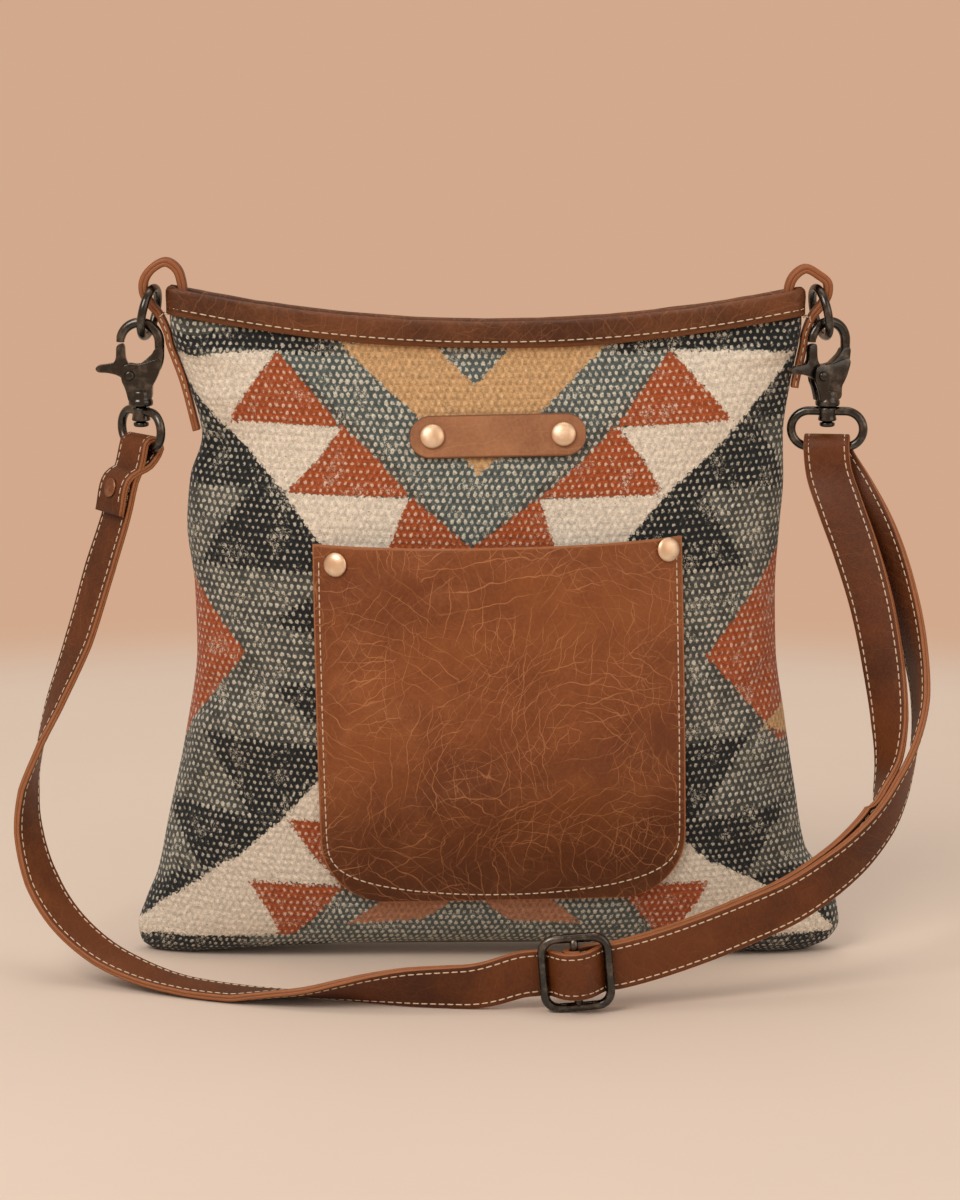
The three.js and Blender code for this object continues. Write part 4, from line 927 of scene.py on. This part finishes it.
g, w, top, drop = body["gap"], lipData["wall"], lipData["top"], lipData["drop"]
inner = body["cloth"] + 2 * g
lipProfile = np.array([(g, -drop), (g + w, -drop), (g + w + 0.05, -drop * 0.6), (g + w + 0.1, -drop * 0.25),
                       (g + w, 0), (g + w - 0.15, top - 0.7), (g + w - 0.6, top - 0.1),
                       (g + w - 1.3, top + g - 0.02), (0.7 - inner / 2, top + g + 0.05),
                       (1.3 - inner - w, top + g - 0.02), (0.6 - inner - w, top - 0.1),
                       (0.15 - inner - w, top - 0.7), (-inner - w, 0), (-inner - w, -drop * 0.5),
                       (-inner - w, -drop), (-inner, -drop), (-inner, 0), (-inner + 0.2, g), (g - 0.2, g),
                       (g, 0)])
lips = []
for side in (-1, 1):
    path, outward = lipPath(side)
    rippled = np.broadcast_to(lipProfile, (len(path),) + lipProfile.shape).copy()
    run = lengthAlong(path)
    for k in range(2, 13):
        ripple = lipData["ripple"] * 0.4 * waves(60 + k % 3 + side, 7, 6, 40, run, 0 * run)
        rippled[:, k, 1 if 6 <= k <= 9 else 0] += ripple
    rippled[:, :3, 1] += 0.35 * waves(70 + side, 4, 30, 90, run, 0 * run)[:, None]
    lips.append((side, path, outward, run,
                 shellOf(swept(path, outward, np.broadcast_to([0, 0, 1.0], path.shape), rippled))))
lipRaw = np.tile([1.0, 0.75] + [0.0] * 12 + [0.8, 0.8] + [0.0] * 4, len(lips[0][1]))
lipEdge = np.concatenate([lipRaw, lipRaw])
lipSpot = np.concatenate([np.column_stack([np.repeat(run, len(lipProfile)),
                                           np.tile(lipProfile, (len(run), 1))])
                          for _, _, _, run, _ in lips])
makePiece("zipLips", together([shell for *_, shell in lips]), "bag", lipLeather,
          ["front_lip", "back_lip"], {"rawEdge": lipEdge, "spot": lipSpot})
lipThreads = []
for side, path, outward, run, _ in lips:
    line = path + outward * (g + w + 0.02) - [0, 0, drop - lipData["stitchUp"]]
    lipThreads.append(stitchShape(line[3:-3], outward[3:-3], 3.9, 3.0))
makePiece("lipStitches", together(lipThreads), "bag", thread)

# Zip: two tapes and rows of teeth on arcs that share the rim's centre
zipData = {"sink": 4.0, "half": 112.0, "pitch": 1.9, "tapeY": 3.95, "teethY": 3.4}


def arcPoint(x, y, drop):
    # The arc of the rim, lower by the drop: the point, the heading there and the way up
    turn = np.arcsin((x - body["rimCentre"]) / body["rimRadius"])
    radius = body["rimRadius"] + drop
    sine, cosine = np.sin(turn), np.cos(turn)
    point = (body["rimCentre"] + radius * sine, y + 0 * x, body["rim"] + body["rimRadius"] - radius * cosine)
    return [np.stack(three, -1) for three in (point, (cosine, 0 * x, sine), (-sine, 0 * x, cosine))]


sideways = np.array([0, 1.0, 0])
for side, word in ((-1, "Front"), (1, "Back")):
    x = np.linspace(-zipData["half"] - 4, zipData["half"] + 4, 120) + body["rimCentre"]
    point, heading, rise = arcPoint(x, side * zipData["tapeY"], zipData["sink"] + 0.9)
    strip = np.array([(-0.55, -0.3), (0.55, -0.3), (0.55, 0.3), (-0.55, 0.3)])
    makePiece("zipTape" + word, shellOf(swept(point, np.broadcast_to(sideways, point.shape), rise, strip)),
              "bag", zipCloth, ["zip_tape_" + word.lower()])
    x = np.arange(-zipData["half"] + 0.8, zipData["half"] - 0.4, zipData["pitch"]) + body["rimCentre"]
    point, heading, rise = arcPoint(x, side * zipData["teethY"], zipData["sink"] - 0.35)
    block = np.array([(a, b, c) for a in (-0.6, 0.6) for b in (-0.6, 0.6) for c in (-0.65, 0.65)])
    block[:, 0] *= np.where(block[:, 1] * -side > 0, 0.55, 1)
    a, b, c = (block[None, :, k:k + 1] for k in range(3))
    teeth = point[:, None] + a * heading[:, None] + b * sideways + c * rise[:, None]
    box = np.array([[0, 1, 3, 2], [4, 6, 7, 5], [0, 4, 5, 1], [2, 3, 7, 6], [0, 2, 6, 4], [1, 5, 7, 3]])
    faces = (box[None] + (np.arange(len(x)) * 8)[:, None, None]).reshape(-1, 4)
    row = makePiece("zipTeeth" + word, (teeth.reshape(-1, 3), faces), "bag", zipMetal,
                    ["zip_coil_" + word.lower()], smooth=False)
    soften(row, 0.12, 1)
print("stage: lips and zip")


def rounded(node, name, holder, width):
    # The CAD piece again, with its loose triangles joined and its edges rounded
    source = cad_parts[node].data
    co = np.zeros(len(source.vertices) * 3)
    source.vertices.foreach_get("co", co)
    spots, index = np.unique(np.round(co.reshape(-1, 3), 6), axis=0, return_inverse=True)
    corners = np.zeros(len(source.loops), int)
    source.loops.foreach_get("vertex_index", corners)
    faces = index.ravel()[corners].reshape(-1, 3)
    piece = makePiece(name, (spots * 1000 - bagOrigin, faces), holder, zipMetal, [node],
                      smooth=False)
    soften(piece, width)


rounded("zip_slider", "zipSlider", "zip_slider", 0.25)
rounded("zip_pull", "zipPull", "zip_pull", 0.2)
rounded("zip_stop_left", "zipStopLeft", "bag", 0.2)
rounded("zip_stop_right", "zipStopRight", "bag", 0.2)


def bandProfile(wide, thick, inset):
    # Section of the strap and the loops: slightly crowned faces, sunk stitch lines, two plies at the edge
    h, k = wide / 2, thick / 2
    face = [(h - 0.12, k * 0.72), (h - 0.55, k * 0.97)]
    face += [(h - inset + 0.9, k), (h - inset, k - stitch["groove"]),
             (h - inset - 0.9, k)] if inset else [(h - 1.4, k)]
    face.append((0.0, k))
    face += [(-x, y) for x, y in face[-2::-1]]
    edge = [(-h, k * 0.4), (-h + 0.02, k * 0.12), (-h + 0.34, 0.0), (-h + 0.02, -k * 0.12), (-h, -k * 0.4)]
    return np.array(face + edge + [(-x, -y) for x, y in face] + [(-x, -y) for x, y in edge])


def bandPiece(name, path, across, upward, wide, thick, inset, holder, material, stands):
    # The section carried along the path; thick is one value or one for each station
    thick = np.broadcast_to(thick, len(path))
    profile = np.stack([bandProfile(wide, t, inset) for t in thick])
    run = np.broadcast_to(lengthAlong(path)[:, None], profile.shape[:2])
    shape = shellOf(swept(path, across, upward, profile))
    edge = step(np.abs(profile[..., 0]), wide / 2 - 0.6, wide / 2 - 0.15)
    groove = 1 - step(np.abs(profile[..., 1]), 0.02, 0.15)
    marks = {"rawEdge": edge.ravel(), "groove": (groove * edge).ravel(),
             "spot": np.stack([run, profile[..., 0], profile[..., 1]], -1).reshape(-1, 3)}
    return makePiece(name, shape, holder, material, stands, marks)


# Leather side loops, the rings in them, and the clasps on the rings
clasps = {"eyeTop": 231.2, "eyeHigh": 7.5, "eyeWide": 14.95, "wire": 1.85, "hookHalf": 8.1, "hookRod": 1.9,
          "pin": (-4.2, 246.2), "gate": 2.9, "ring": 10.2, "ringRod": 1.8}
ends = {
    "left": {"out": -1, "seam": "seamLeft", "corner": (-128.5, 281.7), "arch": 11.6, "foot": 223,
             "ring": (-137, 0, 272.1), "lean": (1, -0.21, -0.21), "clasp": (-140.9, -2.1, 0), "hookYaw": 0,
             "eyeYaw": 52, "hookTop": 268},
    "right": {"out": 1, "seam": "seamRight", "corner": (133.2, 280.9), "arch": 9.6, "foot": 241,
              "ring": (141.2, 0, 272.1), "lean": (1, 0.21, 0.21), "clasp": (144.4, -2.1, 0), "hookYaw": -26,
              "eyeYaw": 8, "hookTop": 268.3},
}
loopData = {"wide": 7.4, "thick": 3.0, "swell": 0.7}
levels = np.array([0, 0.0015, 0.02, 0.05, 0.09, 0.15, 0.24, 0.36, 0.49, 0.62, 0.72, 0.792, 0.865, 0.92, 0.958,
                   1])


def loopPath(end):
    # Over the ring, behind it down to the seam, then down outside the seam to the foot of the loop
    x, z = end["corner"]
    turn = [(-5.8, -14), (-5.8, -6), (-5.6, 2), (-3.4, end["arch"] - 3), (1.4, end["arch"]),
            (7.4, end["arch"] - 3), (10.8, 3.6), (10.8, -1.6), (8.2, -6), (4.4, -10.6)]
    points = [(x + end["out"] * dx, 0, z + dz) for dx, dz in turn]
    seam = softCurve(body[end["seam"]], levels * body["high"])
    off = end["out"] * (loopData["thick"] / 2 + 2.4 * body["gap"])
    for high in [z - 18] + [h for h in (levels * z)[::-1] if end["foot"] <= h <= z - 18] + [end["foot"]]:
        points.append((np.interp(high, levels * z, seam) + off, 0, high))
    points = np.array([p for i, p in enumerate(points) if i == 0
                       or np.linalg.norm(np.subtract(p, points[i - 1])) > 0.5])
    i, k = fineSteps(points, 0.8)
    return evenly(splineAt(points, i, k)[0], 0.8)[0]


def turnAbout(points, yaw, place):
    c, s = math.cos(math.radians(-yaw)), math.sin(math.radians(-yaw))
    return points @ np.array([[c, s, 0], [-s, c, 0], [0, 0, 1]]) + np.array(place, float)


def plateShape(outline, half):
    # Flat plate: an outline in x and z between two faces
    outline = np.array(outline, float)
    flat = [np.stack([outline[:, 0], np.full(len(outline), y), outline[:, 1]], -1) for y in (-half, half)]
    return shellOf(np.stack(flat))


def eyeShape():
    # Oval of round wire, with a turned boss that the stem passes through
    d = clasps
    straight = d["eyeWide"] - d["eyeHigh"]
    turn = np.pi / 2 - np.pi * np.arange(25) / 24
    right = np.stack([straight + d["eyeHigh"] * np.cos(turn), 0 * turn,
                      d["eyeTop"] - d["eyeHigh"] + d["eyeHigh"] * np.sin(turn)], -1)
    oval = np.concatenate([right, right[::-1] * [-1, 1, 1]])
    wire = flatTube(oval, (0, 1, 0), ringProfile(d["wire"], 18), True)
    ring = roundedTurn([(2.1, 227.2), (3.3, 227), (3.95, 227.5), (3.6, 229), (3.6, 231), (3.95, 232.2),
                        (3.6, 232.8), (2.1, 232.8)], 2)
    spoke = 2 * np.pi * np.arange(32) / 32
    boss = np.stack([ring[None, :, 0] * np.cos(spoke)[:, None], ring[None, :, 0] * np.sin(spoke)[:, None],
                     np.broadcast_to(ring[:, 1], (32, len(ring)))], -1)
    return together([wire, shellOf(boss, True)])


def hookShape(top):
    # Round rod from the body up and over to the mouth, swelling a little at the bend
    half = clasps["hookHalf"]
    turn = np.pi * np.arange(25) / 24
    bend = np.stack([half * np.cos(turn), 0 * turn, top - half + half * np.sin(turn)], -1)
    foot = np.array([(3.2, 0, 244.4), (4.4, 0, 246.6), (6.6, 0, 249), (7.8, 0, 252)])
    path = np.concatenate([foot, np.linspace((half, 0, 254), (half, 0, top - half), 5)[:-1], bend])
    i, k = fineSteps(path, 1.2)
    path = splineAt(path, i, k)[0]
    run = lengthAlong(path) / lengthAlong(path)[-1]
    swell = 1 + 0.12 * np.sin(np.pi * np.clip(run * 1.4 - 0.3, 0, 1))
    size = clasps["hookRod"] * swell * np.where(run > 0.97, 0.9, 1)
    rod = flatTube(path, (0, 1, 0), ringProfile(1, 18)[None] * size[:, None, None])
    # Shield-shaped body: a spine on the right, and two cheeks with the sprung lever between them
    right = [(4.9, 235.8), (4.9, 241.6), (6.2, 243.6), (7.6, 246.5), (9.2, 251.6)]
    spine = [(-0.4, 235.8)] + right + [(9.9, 257.5), (6.3, 257.5), (5, 255), (1.5, 252), (-0.4, 250.6),
                                       (-0.4, 235.8)]
    cheek = [(-4.9, 235.8)] + right + [(8, 253.2), (4.6, 252.4), (1.5, 251.2), (-1.5, 250.6), (-4.6, 251.2),
                                       (-6.9, 250.2), (-7.9, 247.2), (-7.6, 243.8), (-6.2, 241),
                                       (-4.9, 235.8)]
    sides = [plateShape(roundedTurn(spine, 2)[:-1], 2.1)]
    for y in (-2.5, 2.5):
        points, faces = plateShape(roundedTurn(cheek, 2)[:-1], 0.9)
        sides.append((points + [0, y, 0], faces))
    stem = turned(roundedTurn([(0.01, 224.6), (2.5, 224.6), (3.2, 225.1), (3.2, 226.4), (1.7, 226.6),
                               (1.7, 233.1), (4.6, 233.3), (5.1, 233.9), (5.1, 235.5), (4.5, 236.4),
                               (4.4, 240), (0.01, 240.5)], 2), np.zeros(3), (0, 0, 1), 32)
    return together([rod, *sides, stem])


def gateShape(top):
    # Sprung lever: thumb piece outside, arm that closes the mouth of the hook
    half = clasps["hookHalf"]
    outline = [(-3.4, 243.9), (-2, 245.4), (-2.3, 248.4), (-4.6, 250.6), (-6, 253.2),
               (-6.2, top - half - 0.25), (-9.8, top - half - 1.1), (-9.9, 253.4), (-10.9, 251.3),
               (-14, 250.8), (-17.6, 250.3), (-18.7, 248.8), (-17.6, 247.3), (-13.6, 247.2), (-9.6, 246.3),
               (-6, 243.9)]
    outline = roundedTurn(outline + outline[:1], 2)[:-1]
    return plateShape(outline, clasps["gate"] / 2)


def pinShape():
    x, z = clasps["pin"]
    profile = roundedTurn([(0.01, -4.5), (1.6, -4.4), (2.2, -3.5), (1.05, -3.4), (1.05, 3.4), (2.2, 3.5),
                           (1.6, 4.4), (0.01, 4.5)], 1)
    return turned(profile, np.array([x, 0, z]), (0, 1, 0), 24)


for word, end in ends.items():
    big = word.capitalize()
    path = loopPath(end)
    heading = unit(np.gradient(path, axis=0))
    across = np.broadcast_to(sideways, path.shape)
    upward = unit(np.cross(heading, across))
    inward = np.sign(np.sum((path[:, ::2] - np.array(end["corner"])) * upward[:, ::2], 1, keepdims=True)) * -1
    arc = step(path[:, 2], end["corner"][1] - 16, end["corner"][1])[:, None]
    bandPiece("leatherLoop" + big, path + upward * inward * arc * loopData["swell"] / 2, across, upward,
              loopData["wide"], loopData["thick"] + loopData["swell"] * arc[:, 0], 0, "bag", loopLeather,
              [word + "_loop"])
    down = path[path[:, 2] < end["corner"][1] - 10][2:]
    down = down[np.abs(down[:, 0]) > abs(end["corner"][0]) - 9]
    rows = [stitchShape(down + [0, y * (loopData["wide"] / 2 - 0.05), 0],
                        np.broadcast_to([0, y, 0.0], down.shape), 3.6, 2.5)
            for y in (-1, 1)]
    makePiece("loopStitches" + big, together(rows), "bag", thread)

    lean = unit(np.array(end["lean"], float))
    first = unit(np.cross(lean, [0, 0, 1.0]))
    spoke = spokes(72, first, np.cross(lean, first))
    ring = swept(np.array(end["ring"]) + spoke * clasps["ring"], spoke, np.broadcast_to(lean, spoke.shape),
                 ringProfile(clasps["ringRod"], 20))
    makePiece(word + "RingShape", shellOf(ring, True), word + "_ring", darkMetal,
              [word + "_ring"])

    hookYaw, clasp = end["hookYaw"], word + "_clasp"
    for name, node, (points, faces), yaw, holder, bevel in (
            ("Eye", "_eye", eyeShape(), end["eyeYaw"], "strap", 0),
            ("Clasp", "_clasp", hookShape(end["hookTop"]), hookYaw, clasp, 0.8),
            ("Trigger", "_trigger", gateShape(end["hookTop"]), hookYaw, word + "_trigger", 0.7),
            ("TriggerPin", "_trigger_pin", pinShape(), hookYaw, clasp, 0)):
        part = makePiece(word + name + "Shape", (turnAbout(points, yaw, end["clasp"]), faces), holder,
                         darkMetal, [word + node])
        if bevel:
            soften(part, bevel, 3, 50)
print("stage: loops, rings and clasps")

# Strap: one flat band from the left eye, over the floor and through the buckle, round the right eye and back
strapData = {"wide": 19.0, "thick": 3.0, "inset": 2.1, "layer": 3.5, "gap": 0.3}
buckleData = {"centre": (38.5, -96.0, 16.6), "half": (13.15, 14.15), "corner": 5.6}
barTop = clasps["eyeTop"] - 2 * clasps["eyeHigh"]
foldRadius = clasps["wire"] + 2 * strapData["gap"] + strapData["thick"] / 2
buckleCentre = np.array(buckleData["centre"])
buckleAlong, buckleUp = unit(np.array([0.996, 0, 0.085])), unit(np.array([-0.085, 0, 0.996]))


def inBuckle(s, n):
    return buckleCentre + buckleAlong * s + np.array([0, -1.0, 0]) * n


def foldOver(centre, start, wide):
    # Half turn over the bottom bar of an eye, from the side that start points to
    turn = np.pi * np.arange(7) / 6
    rise = np.array([0, 0, 1.0]) * foldRadius * np.sin(turn)[:, None]
    points = centre + start * foldRadius * np.cos(turn)[:, None] + rise
    return [(p, wide) for p in points]


def mark(x, y, z, a, b, c):
    return np.array([x, y, z], float), unit(np.array([a, b, c], float))


def facing(yaw):
    c, s = math.cos(math.radians(yaw)), math.sin(math.radians(yaw))
    return np.array([c, -s, 0]), np.array([-s, -c, 0])


leftWide, leftFace = facing(ends["left"]["eyeYaw"])
rightWide, rightBack = facing(ends["right"]["eyeYaw"])
rightFace = -rightBack
leftBar = np.array(ends["left"]["clasp"], float) + [0, 0, barTop]
rightBar = np.array(ends["right"]["clasp"], float) + [0, 0, barTop]
hold = np.array([(-147.9, -6, 203), (-151.3, -7.9, 188.5)])
holdOut = unit(np.cross(leftWide, hold[1] - hold[0]))
layer = strapData["layer"]
leftRun = [(hold[1] - holdOut * layer, leftWide), (hold[0] - holdOut * layer, leftWide),
           mark(-141.6, -1.9, 209.5, *leftWide)]
leftRun += foldOver(leftBar, -leftFace, leftWide)
leftRun += [mark(-145.9, -4.8, 208, *leftWide), (hold[0], leftWide), (hold[1], leftWide)]
leftRun += [mark(*m) for m in (
    (-158, -12, 167, 0.66, -0.75, 0), (-167, -17, 137, 0.6, -0.8, 0), (-177, -22, 111, 0.35, -0.93, 0),
    (-183, -25.5, 94, 0.05, -1, 0), (-187.5, -29, 76, -0.25, -0.95, -0.1),
    (-187.5, -33, 59, -0.36, -0.9, -0.18), (-182, -38, 40, -0.38, -0.86, -0.3),
    (-172, -44, 25, -0.3, -0.9, -0.28), (-157, -51, 13, -0.2, -0.94, -0.22),
    (-141, -58, 6.4, -0.1, -0.97, -0.14), (-123, -66, 2.8, 0.05, -1, -0.03), (-98, -76, 2, 0.15, -0.98, 0.04),
    (-73, -83.5, 3, 0.12, -0.93, 0.32), (-53, -88, 6.4, 0.06, -0.78, 0.62), (-28, -91.5, 9, 0, -0.4, 0.9),
    (0, -92.5, 10.2, -0.02, -0.12, 0.99))]
overBar = [(inBuckle(s, n), buckleUp) for s, n in (
    (-22, -3.4), (-15.6, -4), (-12.4, -4), (-9.7, -1.9), (-7, 2.2), (-5, 4.9), (-2.7, 6.5), (0, 7),
    (2.7, 6.5), (5, 4.9), (7, 2.2), (9.7, -1.9), (12.4, -4), (15.6, -4))]
rightOuter = [mark(*m) for m in (
    (69, -89, 21, -0.12, -0.02, 0.99), (89, -84, 26.5, -0.2, -0.05, 0.98),
    (107, -79, 32.5, -0.28, -0.1, 0.95), (126, -73, 39.5, -0.36, -0.2, 0.91),
    (142, -67, 48.5, -0.42, -0.33, 0.85), (155, -61, 58, -0.45, -0.5, 0.74),
    (166, -55, 70, -0.45, -0.7, 0.55), (173.4, -48.5, 83, -0.33, -0.87, 0.38),
    (179, -42, 98, -0.1, -0.98, 0.15), (181.6, -35, 115, 0.15, -0.98, 0), (179.8, -27, 135, 0.36, -0.93, 0),
    (174.4, -19, 157, 0.58, -0.81, 0), (165.4, -10.5, 180, 0.8, -0.6, 0), (155, -3.4, 198, 0.95, -0.3, 0),
    (147.4, 0.8, 210, 0.98, -0.14, 0))]
rightInner = [mark(*m) for m in (
    (145, -7, 206, 0.99, -0.14, 0), (149.2, -12.4, 193, 0.98, -0.18, 0), (155.3, -18, 176, 0.94, -0.3, 0),
    (161.8, -24.5, 154, 0.88, -0.46, 0), (166.6, -32, 128, 0.8, -0.6, 0),
    (168.6, -39, 107, 0.66, -0.75, 0.08), (167.8, -44, 91, 0.4, -0.88, 0.24),
    (163.6, -49.6, 77.5, 0.02, -0.9, 0.42))]
innerLow = []
for (p, w), (ahead, _), away in zip(rightOuter[:7], rightOuter[1:8],
                                    (layer, layer, layer, layer, layer, 4, 4.8)):
    innerLow.append((p - unit(np.cross(unit(ahead - p), w)) * away, w))
roundBar = [(inBuckle(s, n), buckleUp) for s, n in (
    (15.6, -4 - layer), (12.4, -4 - layer), (8.4, -6.7), (5, -5.2), (2.2, -3.9), (0, -3.65), (-2.6, -2.6),
    (-3.65, 0), (-2.6, 2.6), (0, 3.65), (1.9, 3.1))]
route = (leftRun + overBar + rightOuter + foldOver(rightBar, rightFace, rightWide) + rightInner
         + innerLow[::-1] + roundBar)


def strapStations(spacing):
    # Spline through the marks; the width turns evenly between them and stays square to the heading
    spots, wides = (np.array([m[n] for m in route]) for n in (0, 1))
    i, k = fineSteps(spots, spacing)
    path, heading = splineAt(spots, i, k)
    wide = wides[i] * (1 - k)[:, None] + wides[i + 1] * k[:, None]
    wide = unit(wide - heading * np.sum(wide * heading, -1, keepdims=True))
    face = np.cross(heading, wide)
    reach = np.abs(wide[:, 2]) * strapData["wide"] / 2 + np.abs(face[:, 2]) * strapData["thick"] / 2
    path[:, 2] = np.maximum(path[:, 2], reach)
    return path, wide, face


path, wide, face = strapStations(2.4)
bandPiece("leatherStrap", path, wide, face, strapData["wide"], strapData["thick"], strapData["inset"],
          "strap", strapLeather, ["strap"])
rows = []
aside, above = strapData["wide"] / 2 - strapData["inset"], strapData["thick"] / 2 - stitch["groove"]
for edge in (-1, 1):
    for side in (-1, 1):
        line = path + wide * edge * aside + face * side * above
        rows.append(stitchShape(line[2:-2], (face * side)[2:-2], 3.5))
makePiece("strapStitches", together(rows), "strap", thread)

seat = hold[0] * 0.7 + hold[1] * 0.3 + holdOut * (strapData["thick"] / 2 + rivetData["play"])
makePiece("strapRivet", rivetShape(seat, holdOut, strapData["thick"] + layer + 2 * rivetData["play"]),
          "strap", capMetal, ["strap_rivet"])

# Buckle: rounded frame of round rod with a middle bar
turn = np.radians(np.concatenate([start + np.linspace(0, 90, 9) for start in (0, 90, 180, 270)]))
signs = np.repeat([(1, 1), (-1, 1), (-1, -1), (1, -1)], 9, axis=0)
corner = buckleData["corner"]
rim = signs * (np.array(buckleData["half"]) - corner) + corner * np.stack([np.cos(turn), np.sin(turn)], -1)
framePath = buckleCentre + rim[:, :1] * buckleAlong + rim[:, 1:] * buckleUp
frameTube = flatTube(framePath, (0, -1, 0), ringProfile(clasps["wire"], 16), True)
barPath = buckleCentre + np.linspace(-1, 1, 9)[:, None] * buckleData["half"][1] * buckleUp
barTube = flatTube(barPath, (0, -1, 0), ringProfile(clasps["wire"] - 0.05, 16))
makePiece("buckleShape", together([frameTube, barTube]), "strap", darkMetal, ["buckle"])
print("stage: strap and buckle")

# Floor and light
studio = {"floor": (217, 196, 178), "far": (210, 169, 140), "nearEdge": 0.62, "farEdge": 0.86, "world": 0.6,
          "reach": 6}


def seenDirectly(tree):
    # 1 for rays that come from the camera, a mirror or glass
    rays = tree.nodes.new("ShaderNodeLightPath")
    seen = rays.outputs["Is Camera Ray"]
    for kind in ("Is Glossy Ray", "Is Transmission Ray"):
        either = tree.nodes.new("ShaderNodeMath")
        either.operation = "MAXIMUM"
        tree.links.new(seen, either.inputs[0])
        tree.links.new(rays.outputs[kind], either.inputs[1])
        seen = either.outputs[0]
    return seen


def floorFinish():
    f = Finish("floorFinish", 0.75, Specular_IOR_Level=0.3)
    where = f.place()
    away = f.node("ShaderNodeVectorMath", operation="LENGTH")
    f.plug(away.inputs[0], where)
    mottle = f.noise(where, 3.5, 4.0)
    tone = f.blend(f.fade(mottle, 0.3, 0.7), tint(*[c * 0.985 for c in studio["floor"]]),
                   tint(*studio["floor"]))
    f.set("Base Color", tone)
    f.bump(f.noise(where, 40, 5.0), 0.3, 0.15)
    # Past its edge the floor is the plain backdrop for the camera and for reflections
    plain = f.node("ShaderNodeEmission")
    plain.inputs[0].default_value = tint(*studio["far"])
    mixed = f.node("ShaderNodeMixShader")
    far = f.times(f.fade(away.outputs["Value"], studio["nearEdge"], studio["farEdge"]), seenDirectly(f.tree))
    for socket, value in zip(mixed.inputs, (far, f.shader.outputs[0], plain.outputs[0])):
        f.plug(socket, value)
    f.plug(f.tree.nodes["Material Output"].inputs[0], mixed.outputs[0])
    return f.material


floorMesh = bpy.data.meshes.new("floor")
far = studio["reach"]
floorMesh.from_pydata([(-far, -far, 0), (far, -far, 0), (far, far, 0), (-far, far, 0)], [], [(0, 1, 2, 3)])
floorMesh.materials.append(floorFinish())
floor = bpy.data.objects.new("floor", floorMesh)
bpy.context.scene.collection.objects.link(floor)

world = bpy.data.worlds.new("studio")
bpy.context.scene.world = world
world.use_nodes = True
sky = world.node_tree
light = sky.nodes["Background"]
light.inputs[0].default_value, light.inputs[1].default_value = tint(255, 252, 248), studio["world"]
backdrop = sky.nodes.new("ShaderNodeBackground")
backdrop.inputs[0].default_value = tint(*studio["far"])
mixed = sky.nodes.new("ShaderNodeMixShader")
for source, socket in zip((seenDirectly(sky), light.outputs[0], backdrop.outputs[0]), mixed.inputs):
    sky.links.new(source, socket)
sky.links.new(mixed.outputs[0], sky.nodes["World Output"].inputs[0])
lamps = [("key", (-0.9, -1.1, 1.5), 0.9, 19.0, (255, 251, 246)),
         ("fill", (1.4, -0.9, 0.9), 1.3, 6.0, (255, 250, 244)),
         ("top", (0.1, 0.5, 1.8), 1.2, 7.0, (255, 252, 248))]
for name, place, size, power, colour in lamps:
    lamp = bpy.data.lights.new(name, "AREA")
    lamp.size, lamp.energy, lamp.color = size, power, tint(*colour)[:3]
    stand = bpy.data.objects.new(name, lamp)
    stand.location = place
    stand.rotation_euler = (Vector((0, 0, 0.13)) - Vector(place)).to_track_quat("-Z", "Y").to_euler()
    bpy.context.scene.collection.objects.link(stand)
print("stage: floor and light")
